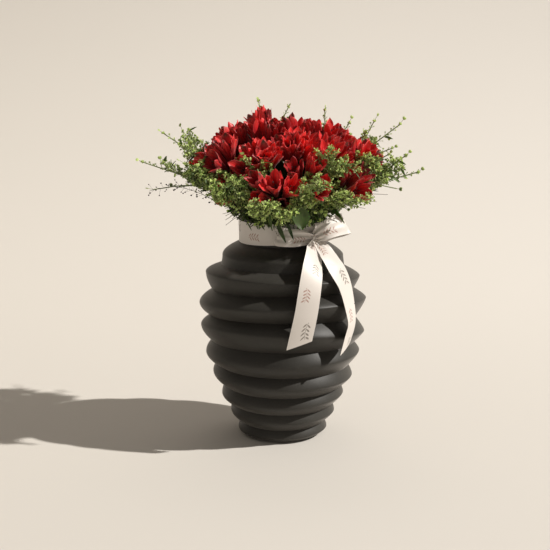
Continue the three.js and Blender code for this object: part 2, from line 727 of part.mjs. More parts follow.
// Turns a flat triangle's longest edge the other way, across it and the triangle beyond.
function flipped(points, faces, face, from) {
  const [a, b, c] = [0, 1, 2].map((k) => face[(from + k) % 3]);
  const beyond = faces.find((other) => other !== face && other.includes(a) && other.includes(b));
  const d = beyond.find((corner) => corner !== a && corner !== b);
  const halves = [[a, d, c], [d, b, c]];
  const lowest = (list) => Math.min(...list.map((other) => measured(points, other).height));
  if (neighboursOf(faces, c).has(d) || lowest(halves) <= lowest([face, beyond])) return null;
  return [...faces.filter((other) => other !== face && other !== beyond), ...halves];
}

// The triangles of a joined solid without the needles and slivers that joining leaves.
function withoutSlivers(points, allFaces) {
  let faces = allFaces;
  const isPoor = ({ height, shortest }) => height < SLIVER || shortest < SHORT_EDGE;
  for (let changed = true; changed; ) {
    changed = false;
    for (const face of faces.filter((other) => isPoor(measured(points, other)))) {
      if (!faces.includes(face)) continue;
      const { shortest, longFrom, shortFrom } = measured(points, face);
      const mended =
        shortest < SHORT_EDGE ? collapsed(faces, face, shortFrom) : flipped(points, faces, face, longFrom);
      if (!mended) continue;
      faces = mended;
      changed = true;
    }
  }
  return faces;
}

// A node's mesh: its solids joined into one.
function joined(name, solids, material) {
  const mesh = Manifold.union(solids.map(({ solid }) => solid)).getMesh();
  const points = Array.from({ length: mesh.numVert }, (_, i) => at(...mesh.position(i)));
  const triangles = Array.from({ length: mesh.numTri }, (_, i) => [...mesh.verts(i)]);
  const geometry = new THREE.BufferGeometry().setFromPoints(points);
  geometry.setIndex(withoutSlivers(points, triangles).flat());
  const node = new THREE.Mesh(geometry, material);
  node.name = name;
  return node;
}

const bouquet = new THREE.Group();
for (const [name, { solids, material }] of nodes) bouquet.add(joined(name, solids, material));

export default bouquet;
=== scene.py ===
# A bouquet of red Peruvian lilies and green pennycress in a ridged black stoneware vase, with a
# printed satin ribbon tied round the vase's neck. Sizes are in millimetres up to the point where a
# mesh is made, and the frame's axes are the part's own: +Z up, and -Y is the side with the bow.

from collections import namedtuple
from functools import partialmethod
from itertools import product
from math import atan2, cos, hypot, pi, radians, sin, sqrt

import bpy
import numpy as np
from mathutils import Matrix, Quaternion, Vector
from mathutils.kdtree import KDTree


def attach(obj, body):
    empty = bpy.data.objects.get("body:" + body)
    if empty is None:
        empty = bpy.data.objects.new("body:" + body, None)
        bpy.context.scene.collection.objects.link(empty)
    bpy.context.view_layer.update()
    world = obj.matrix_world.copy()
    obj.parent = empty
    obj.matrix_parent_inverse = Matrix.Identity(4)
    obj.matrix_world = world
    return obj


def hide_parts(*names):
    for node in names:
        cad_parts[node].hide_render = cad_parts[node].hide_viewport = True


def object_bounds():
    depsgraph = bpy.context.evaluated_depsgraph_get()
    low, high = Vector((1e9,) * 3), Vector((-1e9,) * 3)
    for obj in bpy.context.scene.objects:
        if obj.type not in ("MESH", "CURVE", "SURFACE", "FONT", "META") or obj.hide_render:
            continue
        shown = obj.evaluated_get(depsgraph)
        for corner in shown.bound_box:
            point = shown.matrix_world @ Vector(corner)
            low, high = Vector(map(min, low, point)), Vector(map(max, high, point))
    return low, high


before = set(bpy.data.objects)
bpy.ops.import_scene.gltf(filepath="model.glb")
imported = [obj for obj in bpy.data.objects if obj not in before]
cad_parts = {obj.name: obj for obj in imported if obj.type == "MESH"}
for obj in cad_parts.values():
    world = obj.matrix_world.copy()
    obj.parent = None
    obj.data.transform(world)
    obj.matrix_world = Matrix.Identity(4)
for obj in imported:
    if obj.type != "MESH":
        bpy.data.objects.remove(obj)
cad_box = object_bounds()
bpy.ops.object.select_all(action="DESELECT")

MM = 0.001
SAME_HEIGHT = 0.001  # how far apart two points' heights may be and still count as the same
UP = Vector((0, 0, 1))
TO_FRONT = Vector((0, -1, 0))
NO_STALKS_WAY = Vector((0.31, 0.83, 0.46))  # a direction that no stalk has, to start its rings from
TURN = 2 * pi
ANY_TURN = 6.28  # what a random turn is a share of
GOLDEN_ANGLE = pi * (3 - sqrt(5))

# ---------------------------------------------------------------- the vase's and the ribbon's sizes

# Height and radius of each ridge's crest, its lift at the left side and at the front.
RIDGES = [
    (8.3, 63.2, -1, 0),
    (34.2, 73.9, 0.5, 0),
    (59.9, 86.4, -1, 0),
    (89.6, 98.7, 2.5, 0),
    (121.2, 108.5, -1, 2),
    (154.5, 115.2, 4.6, 12),
    (194.2, 117, -3.5, 9),
    (232, 107.7, 3, 5),
    (259, 84.2, 0, 0),
]
FOOT_RADIUS = 52
FOOT_OPEN = FOOT_RADIUS * 0.6  # the first ring, which one flat face fills
FOOT_EDGE = 0.6
GROOVE_DEPTH = 0.36  # as a share of the height between the crests beside it
GROOVE_PLACE = 0.42  # how far up between them it lies
CREST_ROUNDNESS = 1.55  # 1 is a sharp crest with straight faces
CREST_SHARPER_RIGHT = 0.3
NECK_RADIUS = 60
NECK_BOTTOM = 277
RIM_HEIGHT = 312
RIM_ROUNDING = 2
RIM_CORNER = 0.6  # how far the rounding's middle stays inside the sharp corner
MOUTH_RADIUS = 53
WALL = 7
FLOOR = 9
FLOOR_OPEN = FOOT_RADIUS * 0.5  # the last ring, which one flat face fills
VASE_SIDES = 128
FACE_SHARES = [0.05, 0.13, 0.25, 0.4, 0.58, 0.78]  # where a ridge's face has its rows

RIBBON_WIDTH = 31
RIBBON_THICKNESS = 0.35
RIBBON_MIDDLE = 293.5
PLEATS = 3
PLEAT_DEPTH = 3.2
EDGE_CURL = 0.9
BAND_CLEARANCE = 0.9
KNOT_ANGLE = radians(-51)
KNOT_HEIGHT = 289
KNOT_OUT = 61.8
KNOT_LENGTH = 26
LEFT_LOOP = [
    (40, -58, 290), (26, -71, 293), (10, -78, 294), (-5, -75, 295), (-8, -69, 296), (8, -69, 294),
    (34, -61, 289),
]
LEFT_LOOP_ACROSS = Vector((0.1, 0.4, 0.9))
LEFT_LOOP_WIDTH = 27  # the left loop is folded narrower than the ribbon
RIGHT_LOOP = [
    (43, -55, 291), (56, -58, 300), (72, -50, 306), (85, -38, 307), (79, -36, 303), (64, -45, 298),
    (48, -52, 288),
]
RIGHT_LOOP_ACROSS = Vector((-0.45, 0.2, 0.87))
FRONT_TAIL = [
    (43, -54, 286), (42, -76, 274), (39, -102, 256), (35, -117, 232), (30, -122, 200), (21, -123, 158),
]
SIDE_TAIL = [
    (44, -54, 286), (56, -64, 275), (69, -76, 257), (82, -79, 233), (90, -79, 202), (93, -80, 178),
    (88, -83, 158), (84, -86, 144),
]
SIDE_TAIL_TURN = 26
FRONT_TAIL_SLANT = -9  # how far the right corner of a tail's cut end hangs below its middle
SIDE_TAIL_SLANT = -10

# ---------------------------------------------------------------- the bouquet's sizes and places

BINDING_HEIGHT = 300
STEM_FOOT = 16
STEM_TWIST = 25
NECK_HEIGHT = 290
LIP_HEIGHT = 325
NECK_SPREAD = 42
WIDEST_REACH = 195
STEM_STEPS = 4
BRANCH_STEPS = 3
FOUND_WITHIN = 0.03  # how near a CAD corner has to be to be the one that was worked out
EDGE = 1.5  # how far the added greens keep inside the CAD box

# Lily heads: the mouth of the middle flower, the flowers in the ring, their lean and the ring's turn.
HEADS = [
    ((-100, -25, 408), 5, 33, 20),
    ((-76, 38, 430), 5, 33, 0),
    ((-34, 28, 442), 4, 30, 45),
    ((-48, -52, 408), 5, 34, 10),
    ((20, -22, 426), 5, 31, 18),
    ((28, 56, 438), 4, 32, 30),
    ((78, 34, 430), 5, 32, 15),
    ((84, -26, 412), 5, 32, 0),
    ((124, -6, 406), 5, 32, 30),
    ((110, -62, 374), 4, 32, 20),
    ((46, -76, 388), 4, 33, 20),
    ((-10, -106, 368), 5, 33, 50),
    ((-86, -66, 368), 3, 30, 0),
    ((-118, 62, 388), 4, 32, 0),
    ((-50, 108, 406), 4, 33, 0),
    ((26, 112, 412), 4, 33, 40),
    ((98, 86, 406), 4, 33, 10),
]
HEAD_LENGTH = 52
HUB_RADIUS = 3.2
HUB_GAP = 0.8  # between a stem's end and the head's hub
PEDICEL = 13
FLOWER_REACH = PEDICEL + 45  # from a flower's root to its mouth
BUD_REACH = PEDICEL + 33
OPENNESS = [1, 0.78, 0]  # how open the flowers that the CAD holds are, and 0 is a bud
CLOSED = 0.5  # how open the extra flowers are
MOUTH_HALF = 16.5  # from an open flower's axis to a petal's tip
FLOWER_TRIES = 5
LILY_STEM_RADIUS = 2.4
INNER_FLOWERS = [5, 5, 5, 4, 7, 5, 5, 5, 4, 1, 2, 1, 0, 4, 4, 4, 4]  # extra flowers in each head
# The mouths of more flowers that fill the gaps between the heads, and of buds that stand over them.
MORE_FUNNELS = {
    2: [(-14, -12, 440), (-10, -4, 444), (-6, -14, 436)],
    3: [(-14, -62, 412), (-24, -70, 404), (-8, -58, 402)],
    4: [(-10, -40, 425), (-4, -48, 412), (2, -50, 420)],
    8: [(140, -26, 398), (138, 8, 408)],
}
STANDING_BUDS = {2: [(-39, 21, 456), (-30, 23, 462), (-20, 21, 459)]}
CROWN_HEIGHTS = (28, 42, 54)  # points of a flower that the greens keep away from
CROWN_RADIUS = 6
# Broad leaves that fill the shaded hollow between the middle heads, tinted dark as painted shade: for each
# head, the roots and tips.
HOLLOW_LEAVES = {
    2: [((-8, -2, 370), (-6, -2, 424))],
    3: [((-16, -20, 345), (-14, -56, 392)), ((-10, -24, 340), (-20, -66, 384))],
    4: [
        ((0, -18, 350), (-4, -48, 398)), ((4, -22, 345), (6, -58, 392)), ((-6, -8, 360), (-8, -20, 416)),
        ((26, -14, 350), (32, -30, 420)),
    ],
    10: [
        ((10, -30, 340), (2, -72, 380)), ((14, -34, 340), (14, -80, 374)), ((18, -20, 345), (22, -46, 396)),
        ((30, -20, 345), (26, -34, 412)),
    ],
    11: [((-8, -34, 335), (-8, -76, 376))],
}
STEM_LEAVES = 3
LEAF_TRIES = 4
LEAF_LENGTH = 58
LEAF_WIDTH = 11
MORE_LEAVES = 16

# Pennycress: each spray's tips.
SPRAYS = [
    [(-192, -4, 387), (-176, -26, 352)],
    [(-166, 26, 424), (-142, 62, 424)],
    [(-130, -62, 391), (-140, -44, 358)],
    [(-80, -98, 367), (-60, -102, 336)],
    [(-50, -92, 402)],
    [(-16, -110, 336)],
    [(24, -114, 350), (56, -108, 370)],
    [(70, -90, 408), (96, -84, 394)],
    [(78, -78, 340), (112, -54, 344)],
    [(140, -52, 402), (154, -32, 354)],
    [(185, -10, 374), (166, -24, 398)],
    [(164, 36, 436), (128, 38, 440)],
    [(95, 62, 436), (60, 60, 454)],
    [(-34, 51, 467), (8, 62, 458)],
    [(118, 116, 402), (156, 62, 400)],
    [(32, 146, 392), (-58, 136, 396)],
    [(-132, 100, 396)],
]
# How many side twigs a spray has against the others: more at the front, fewer at the top and the back.
SIDE_TWIGS = {
    0: 1.5, 1: 0.8, 2: 1.8, 3: 2.4, 4: 1.2, 5: 1.6, 6: 1.4, 8: 1.8, 9: 2.4, 10: 1.2, 11: 0.4, 12: 0.35,
    13: 0.35, 14: 0.5, 15: 0.4,
}
# The tips of sprigs that lie over the lowest flowers, for each spray that they grow from.
COVER_SPRIGS = {
    2: [(-92, -84, 352)],
    3: [(-42, -119, 342), (-33, -120, 334), (-94, -90, 364), (-84, -96, 354)],
    5: [(-24, -121, 342), (-12, -122, 341), (-3, -119, 328)],
    6: [(10, -120, 333)],
    8: [(82, -98, 356), (96, -94, 346)],
    9: [(112, -88, 350)],
}
# Broad leaves over the ribbon, for each spray: the root, the tip, the width and the tint.
BROAD_LEAVES = {
    5: [
        ((-9, -80, 315), (4, -86, 288), 6, 0.3),
        ((5, -80, 315), (14, -86, 292), 4.5, 0.15),
        ((-18, -96, 328), (-15, -98, 307), 4, 0.8),
    ],
    6: [((22, -113, 339), (24, -119, 311), 23, 0.6)],
}
# Dry twigs that stick out at the rim, for each spray: the root and the tip.
DRY_TWIGS = {
    2: [((-52, -30, 322), (-82, -36, 320)), ((-54, -28, 318), (-78, -34, 304))],
    9: [((70, -30, 330), (112, -34, 327)), ((90, -30, 344), (142, -34, 346))],
    10: [((84, -24, 336), (128, -26, 335))],
}
# A pennycress sprig of tiny pods at the left, painted dark all over as painted shade, and the spray that it
# goes with.
SHADED_SPRIG = [
    (-56, -38, 320), (-86, -56, 337), (-104, -60, 348), (-124, -60, 356), (-148, -60, 360), (-178, -56, 354),
]
SHADED_SPRIG_ON = 2
SHADED_SPRIG_PODS = 46
UNDERSIDE_RIM = 68  # how far from the axis the greens' underside starts to rise from the rim
UNDERSIDE_SLOPE = 0.68
UNDERSIDE_STEEPER_LEFT = 0.08
UNDERSIDE_BEND = 142  # from here outwards it rises less
UNDERSIDE_OUTER_SLOPE = 0.3
# Where small greens may hang over the rim: out to here, down to here, and in front of here.
HANG_REACH = 80
HANG_LOWEST = RIM_HEIGHT - 9
HANG_FRONT = -52
# Painted shade: pods within this height of the bouquet's underside are tinted darker, most of all right at
# it.
PAINTED_SHADE_DEPTH = 24  # how far up from the underside the pods are darker
PAINTED_SHADE_STRENGTH = 0.55
SPRAY_STEM_RADIUS = 1.3
BRANCH_RADIUS = 0.9
BRANCH_START = 0.55
BRANCH_KNEE = 22
SPRIG_START = 0.28  # where on the stem the sprigs and broad leaves at the front start
TWIG_RADIUS = 0.6
# The CAD's pods on a stem and on a branch: its straight steps, where they start and how many there are.
STEM_PODS = (STEM_STEPS, 0.68, 4)
BRANCH_PODS = (BRANCH_STEPS, 0.4, 3)
POD_TRIES = 3
POD_RADIUS = 3.5
POD_STALK = 13
POD_STALK_RADIUS = 0.372
TIP_BUDS = 8

# ---------------------------------------------------------------- small tools


def dice(*seeds):
    """Repeatable random numbers from 0 to 1, the same ones that the CAD part's source draws."""
    state = 7
    for seed in seeds:
        state = (state * 101 + seed + 1) % 65536

    def roll():
        nonlocal state
        state = (state * 1664525 + 1013904223) % 4294967296
        return state / 4294967296

    for _ in range(3):
        roll()
    return roll


def polar(radius, angle, z):
    return Vector((radius * cos(angle), radius * sin(angle), z))


def lerp(a, b, share):
    return a + (b - a) * share


def clamp(value, low=0, high=1):
    return min(max(value, low), high)


def label(index):
    return f"{index + 1:02d}"


def leaning(axis, lean, round_axis):
    """A direction that leans from an axis by so many degrees, on the side that a second angle gives."""
    side = axis.cross(Vector((0, 1, 0))).normalized()
    leant = Quaternion(side, radians(lean)) @ axis
    return Quaternion(axis, round_axis) @ leant


def standing(point, direction, spin=0.0):
    """The matrix that stands a shape made along +Z on a point, facing a direction."""
    turn = UP.rotation_difference(direction.normalized()) @ Quaternion(UP, spin)
    return Matrix.Translation(point) @ turn.to_matrix().to_4x4()


def raised(height):
    return Matrix.Translation((0, 0, height))


def turned(degrees, axis="Z"):
    return Matrix.Rotation(radians(degrees), 4, axis)


def drawn_out(wide, long):
    """The matrix that scales a shape across and along its axis."""
    return Matrix.Diagonal((wide, wide, long, 1))


class Line:
    """A smooth line through a few points: a centripetal Catmull-Rom curve."""

    def __init__(self, points):
        points = [Vector(p) for p in points]
        self.steps = len(points) - 1
        self.points = [points[0] * 2 - points[1], *points, points[-1] * 2 - points[-2]]

    def at(self, share):
        place = clamp(share) * self.steps
        i = min(int(place), self.steps - 1)
        w = place - i
        before, a, b, after = self.points[i : i + 4]
        g0, g1, g2 = ((q - p).length ** 0.5 for p, q in ((before, a), (a, b), (b, after)))
        start = ((a - before) / g0 - (b - before) / (g0 + g1) + (b - a) / g1) * g1
        end = ((b - a) / g1 - (after - a) / (g1 + g2) + (after - b) / g2) * g1
        square = -3 * a + 3 * b - 2 * start - end
        cube = 2 * a - 2 * b + start + end
        return a + start * w + square * w * w + cube * w**3

    def way(self, share):
        step = 0.01
        return (self.at(min(share + step, 1)) - self.at(max(share - step, 0))).normalized()

    def spaced(self, steps):
        return [self.at(i / steps) for i in range(steps + 1)]

    def length(self):
        points = self.spaced(40)
        return sum((b - a).length for a, b in zip(points, points[1:]))


def along(points, share):
    """The point at a share of the way along straight steps, and their direction there."""
    place = share * (len(points) - 1)
    i = min(int(place), len(points) - 2)
    return lerp(points[i], points[i + 1], place - i), (points[i + 1] - points[i]).normalized()


def tree_of(points):
    """A search tree, which finds the nearest of these points."""
    tree = KDTree(len(points))
    for i, point in enumerate(points):
        tree.insert(point, i)
    tree.balance()
    return tree


def corners_of(node):
    return tree_of([vertex.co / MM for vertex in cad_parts[node].data.vertices])


def holds(corners, point):
    """Whether a CAD node has a corner at a worked out place."""
    return corners.find(point)[2] < FOUND_WITHIN


# ---------------------------------------------------------------- modelling by hand


def set_mode(mode):
    bpy.ops.object.mode_set(mode=mode)


def select_points(test):
    """Selects the points of the mesh in edit mode that pass a test of their place, in millimetres."""
    bpy.ops.mesh.select_all(action="DESELECT")
    set_mode("OBJECT")
    for vertex in bpy.context.object.data.vertices:
        vertex.select = test(vertex.co / MM)
    set_mode("EDIT")
    bpy.ops.mesh.select_mode(type="VERT")


def extrude(step, scale=None, centre=(0, 0, 0)):
    """Draws the selected edge or ring out by a step, and may then scale it about its new centre."""
    bpy.ops.mesh.extrude_region_move(TRANSFORM_OT_translate={"value": Vector(step) * MM})
    if scale:
        bpy.ops.transform.resize(value=scale, center_override=Vector(centre) * MM)


def finish_mesh(modifiers=()):
    """Leaves edit mode and applies modifiers, given as (type, settings)."""
    set_mode("OBJECT")
    made = bpy.context.object
    for kind, settings in modifiers:
        modifier = made.modifiers.new(kind.title(), kind)
        for key, value in settings.items():
            setattr(modifier, key, value)
        bpy.ops.object.modifier_apply(modifier=modifier.name)
    made.select_set(False)
    return made


def thickened(thickness):
    return ("SOLIDIFY", {"thickness": thickness * MM, "offset": 0})


def activate(made):
    bpy.context.view_layer.objects.active = made
    made.select_set(True)


def outwards(made):
    """Turns a closed mesh's faces outwards."""
    activate(made)
    set_mode("EDIT")
    bpy.ops.mesh.select_all(action="SELECT")
    bpy.ops.mesh.remove_doubles(threshold=1e-7)
    bpy.ops.mesh.normals_make_consistent(inside=False)
    set_mode("OBJECT")
    made.select_set(False)
    return made


def smooth(made, degrees):
    """Shades a mesh smooth, but for edges that turn by more than an angle."""
    activate(made)
    bpy.ops.object.shade_smooth_by_angle(angle=radians(degrees))
    made.select_set(False)


def add_grain(data, rows):
    """Gives each point of a mesh its place across and along its shape and its tint, for the materials."""
    field = data.attributes.new("grain", "FLOAT_VECTOR", "POINT")
    field.data.foreach_set("vector", np.array(rows, np.float32).ravel())


def modelled_tube(rows, sides):
    """A closed tube drawn up ring by ring. A row is its height, its radius and its way off the axis in X."""
    height, radius, off = rows[0]
    bpy.ops.mesh.primitive_circle_add(vertices=sides, radius=radius * MM, location=(0, 0, 0))
    set_mode("EDIT")
    bpy.ops.transform.translate(value=Vector((off, 0, height)) * MM)
    bpy.ops.mesh.edge_face_add()
    for (z0, r0, x0), (z1, r1, x1) in zip(rows, rows[1:]):
        extrude((x1 - x0, 0, z1 - z0), (r1 / r0, r1 / r0, 1), (x1, 0, z1))
        select_points(lambda p: abs(p.z - z1) < SAME_HEIGHT)
    return outwards(finish_mesh())


# A shape's points in millimetres, its faces, and each point's place on it (across, along).
Shape = namedtuple("Shape", "points faces place")


def shape_of(made, place_of):
    """The shape of a modelled object, which it removes."""
    points = np.array([v.co for v in made.data.vertices], float) / MM
    faces = [list(p.vertices) for p in made.data.polygons]
    bpy.data.objects.remove(made)
    return Shape(points, faces, np.array([place_of(*p) for p in points], float))


def reshaped(shape, move):
    """A copy whose points are moved by a function of (x, y, z, across, along)."""
    points = [move(*point, *place) for point, place in zip(shape.points, shape.place)]
    return Shape(np.array(points, float), shape.faces, shape.place)


class Piece:
    """Gathers placed copies of shapes and makes one mesh of them."""

    def __init__(self, name):
        self.name = name
        self.points = []
        self.grain = []
        self.faces = []
        self.looks = []
        self.count = 0

    def add(self, shape, matrix, look, tint=0.5):
        """Adds a copy of a shape at a matrix, or where it is when there is none."""
        points = shape.points
        if matrix is not None:
            m = np.array(matrix)
            points = points @ m[:3, :3].T + m[:3, 3]
        self.points.append(points)
        self.grain.append(np.hstack([shape.place, np.full((len(points), 1), tint)]))
        self.faces.extend([i + self.count for i in face] for face in shape.faces)
        self.looks.extend([look] * len(shape.faces))
        self.count += len(points)

    def make(self, node):
        """Makes the mesh, which stands for a CAD node."""
        data = bpy.data.meshes.new(self.name)
        data.from_pydata(np.vstack(self.points) * MM, [], self.faces)
        order = {name: i for i, name in enumerate(sorted(set(self.looks)))}
        for name in order:
            data.materials.append(MATERIALS[name])
        data.polygons.foreach_set("material_index", [order[look] for look in self.looks])
        add_grain(data, np.vstack(self.grain))
        data.update()
        made = bpy.data.objects.new(self.name, data)
        bpy.context.scene.collection.objects.link(made)
        smooth(made, 50)
        stand_for(made, node)


def stand_for(made, node):
    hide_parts(node)
    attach(made, "root")


# ---------------------------------------------------------------- materials


class Value:
    """A node's output, which sums can be written with."""

    def __init__(self, tree, socket):
        self.tree = tree
        self.socket = socket

    def sum(self, operation, *others):
        node = self.tree.nodes.new("ShaderNodeMath")
        node.operation = operation
        for value, socket in zip((self, *others), node.inputs):
            join(value, socket)
        return Value(self.tree, node.outputs[0])

    __mul__ = partialmethod(sum, "MULTIPLY")
    __add__ = partialmethod(sum, "ADD")
    __sub__ = partialmethod(sum, "SUBTRACT")
    __truediv__ = partialmethod(sum, "DIVIDE")
    __pow__ = partialmethod(sum, "POWER")
    __abs__ = partialmethod(sum, "ABSOLUTE")
    __lt__ = partialmethod(sum, "LESS_THAN")
    __gt__ = partialmethod(sum, "GREATER_THAN")


def join(value, socket):
    """Links a value to a socket, or sets the socket to a number, a colour (a tuple) or a vector (a list)."""
    if isinstance(value, Value):
        value.tree.links.new(value.socket, socket)
    else:
        socket.default_value = (*value, 1) if isinstance(value, tuple) else value


class Paint:
    """A material and its nodes."""

    def __init__(self, name, roughness, specular=0.4):
        self.material = bpy.data.materials.new(name)
        self.material.use_nodes = True
        self.tree = self.material.node_tree
        self.shader = self.tree.nodes["Principled BSDF"]
        self.set(Roughness=roughness, Specular_IOR_Level=specular)

    def set(self, **values):
        for name, value in values.items():
            join(value, self.shader.inputs[name.replace("_", " ")])

    def node(self, kind, output, inputs, **settings):
        """Adds a node with its settings and inputs, and gives one of its outputs."""
        node = self.tree.nodes.new("ShaderNode" + kind)
        for name, value in settings.items():
            setattr(node, name, value)
        for name, value in inputs.items():
            join(value, node.inputs[name])
        return Value(self.tree, node.outputs[output])

    def apart(self, vector):
        """A vector's three parts."""
        first = self.node("SeparateXYZ", 0, {0: vector})
        return [Value(self.tree, socket) for socket in first.socket.node.outputs]

    def grain(self):
        """The place on the piece: across, along and tint."""
        return self.apart(self.node("Attribute", "Vector", {}, attribute_name="grain"))

    def space(self):
        return self.node("TexCoord", "Object", {})

    def vector(self, x, y, z):
        return self.node("CombineXYZ", 0, {0: x, 1: y, 2: z})

    def noise(self, vector, scale, detail=3.0, roughness=0.55):
        inputs = {"Vector": vector, "Scale": scale, "Detail": detail, "Roughness": roughness}
        return self.node("TexNoise", "Fac", inputs)

    def ramp(self, value, *stops):
        """A value's colour, or its grey, between stops of (value, colour)."""
        made = self.node("ValToRGB", "Color", {0: value})
        elements = made.socket.node.color_ramp.elements
        while len(elements) < len(stops):
            elements.new(0.5)
        for element, (place, colour) in zip(elements, stops):
            element.position = place
            element.color = (*colour, 1) if isinstance(colour, tuple) else (colour, colour, colour, 1)
        return made

    def mix(self, share, a, b, blend="MIX"):
        return self.node("Mix", 2, {0: share, 6: a, 7: b}, data_type="RGBA", blend_type=blend)

    def bump(self, height, strength, distance):
        inputs = {"Strength": strength, "Distance": distance * MM, "Height": height}
        self.set(Normal=self.node("Bump", 0, inputs))


def stoneware():
    paint = Paint("black_stoneware", 0.5, 0.3)
    place = paint.space()
    cloud = paint.noise(place, 9, 4)
    speckle = paint.noise(place, 900, 2, 0.7)
    body = paint.ramp(cloud, (0.3, (0.021, 0.0195, 0.0165)), (0.7, (0.033, 0.031, 0.026)))
    dust = paint.ramp(speckle, (0.55, 0.0), (0.72, 1.0))
    paint.set(Base_Color=paint.mix(dust * 0.35, body, (0.085, 0.08, 0.07)))
    paint.set(Roughness=cloud * 0.14 + 0.42)
    paint.bump(speckle, 0.22, 0.5)
    paint.set(Sheen_Weight=0.2, Sheen_Roughness=0.4, Sheen_Tint=(1.0, 0.93, 0.85))
    return paint.material


def petal(name, base, edge, tip):
    """Red petals: dark at the root and at some tips, with veins, pale edges and paler blotches."""
    paint = Paint(name, 0.44, 0.45)
    across, length, tint = paint.grain()
    off_middle = abs(across)
    veins = paint.noise(paint.vector(across * 9, length * 1.2, tint), 1.3, 3, 0.6)
    blotch = paint.noise(paint.vector(across, length, tint * 40), 1.4, 2)
    reds = ((0.3, (0.29, 0.005, 0.009)), (0.65, (0.68, 0.012, 0.017)), (1.0, (0.9, 0.034, 0.031)))
    body = paint.ramp(length, (0.0, base), *reds)
    body = paint.mix(off_middle**3 * 0.5, body, edge)
    at_tip = paint.ramp(length, (0.8, 0.0), (0.92, 1.0)) * paint.ramp(off_middle, (0.25, 1.0), (0.85, 0.0))
    body = paint.mix(at_tip * paint.ramp(tint, (0.4, 0.95), (0.5, 0.1)), body, tip)
    dark = paint.ramp(veins, (0.35, (0.45, 0.42, 0.45)), (0.62, (1.12, 1.1, 1.1)))
    body = paint.mix(0.8, body, dark, "MULTIPLY")
    # Darker, cooler flowers at a low tint and lighter, warmer ones at a high tint, the tint drawn at random
    # for each flower and petal: their own tone, with painted shade and painted highlight.
    depth = paint.ramp(tint, (0.0, (0.38, 0.3, 0.42)), (0.45, (0.9, 0.85, 0.9)), (1.0, (1.45, 1.3, 1.15)))
    body = paint.mix(1.0, body, depth, "MULTIPLY")
    pale = paint.ramp(blotch, (0.56, 0.0), (0.74, 1.0)) * 0.55
    paint.set(Base_Color=paint.mix(pale, body, (0.8, 0.24, 0.22)))
    paint.bump(veins, 0.35, 0.5)
    paint.set(Subsurface_Weight=0.12, Subsurface_Radius=[1.0, 0.18, 0.12], Subsurface_Scale=0.002)
    paint.set(Sheen_Weight=0.12, Sheen_Roughness=0.4)
    return paint.material


def greenery(name, deep, light, rim, roughness=0.5):
    """Leaves and pods: darker by tint, which holds their own tone and painted shade for those low in the
    bouquet, lighter at the rim, with fine veins along them.
    """
    paint = Paint(name, roughness)
    across, length, tint = paint.grain()
    body = paint.ramp(tint, (0.0, deep), (1.0, light))
    body = paint.mix(paint.ramp(abs(across), (0.55, 0.0), (1.0, 1.0)) * 0.6, body, rim)
    veins = paint.noise(paint.vector(across * 6, length, tint), 2.2, 2)
    patches = paint.noise(paint.space(), 160, 2)
    body = paint.mix(0.6, body, paint.ramp(veins, (0.3, 0.62), (0.7, 1.15)), "MULTIPLY")
    body = paint.mix(0.5, body, paint.ramp(patches, (0.3, 0.7), (0.7, 1.2)), "MULTIPLY")
    paint.set(Base_Color=body)
    paint.bump(veins, 0.3, 0.4)
    paint.set(Subsurface_Weight=0.1, Subsurface_Radius=[0.4, 1.0, 0.2], Subsurface_Scale=0.0015)
    return paint.material


def leafy_print(across, length):
    """A mask of small leafy sprigs that follow each other along the ribbon, and which way each faces."""
    repeat, leaf_half, leaf_wide, bend = 42.0, 3.0, 0.95, 0.022
    cell = (length / repeat).sum("FLOOR")
    facing = cell.sum("PINGPONG", 1.0) * 2.0 - 1.0
    x = (across - facing * 3.5) * facing
    y = length - cell * repeat - repeat / 2
    mask = (abs(x - y * y * bend) < 0.3) * (abs(y) < 9.5)
    for row, side in product(range(4), (-1, 1)):
        centre_y = -5.5 + 4.4 * row + side * 0.6
        turn = radians(52 * side)
        dx = x - (side * 2.9 + bend * centre_y**2)
        dy = y - centre_y
        u = dx * sin(turn) + dy * cos(turn)
        v = dx * cos(turn) - dy * sin(turn)
        leaf = abs(u / leaf_half) ** 1.6 + abs(v / leaf_wide) ** 1.6 < 1.0
        mask = mask.sum("MAXIMUM", leaf)
    return mask, facing


def satin():
    paint = Paint("ivory_satin", 0.42)
    across, length, _ = paint.grain()
    x = across * (RIBBON_WIDTH / 2)
    thread = paint.noise(paint.vector(x * 9, length * 0.6, 0.0), 1.0, 2)
    body = paint.mix(thread, (0.62, 0.56, 0.51), (0.73, 0.69, 0.64))
    mask, facing = leafy_print(x, length)
    ink = paint.mix(facing.sum("MAXIMUM", 0.0), (0.33, 0.16, 0.12), (0.12, 0.1, 0.075))
    body = paint.mix(mask * (thread * 0.5 + 0.5), body, ink)
    body = paint.mix((abs(across) > 0.94) * 0.35, body, (0.8, 0.76, 0.7))
    paint.set(Base_Color=body, Sheen_Weight=0.35, Sheen_Roughness=0.3, Anisotropic=0.5)
    paint.bump(thread, 0.12, 0.2)
    return paint.material


def plain(name, colour, darker, roughness, scale):
    paint = Paint(name, roughness)
    patches = paint.noise(paint.space(), scale, 3)
    paint.set(Base_Color=paint.mix(patches, darker, colour))
    paint.bump(patches, 0.2, 0.3)
    return paint.material


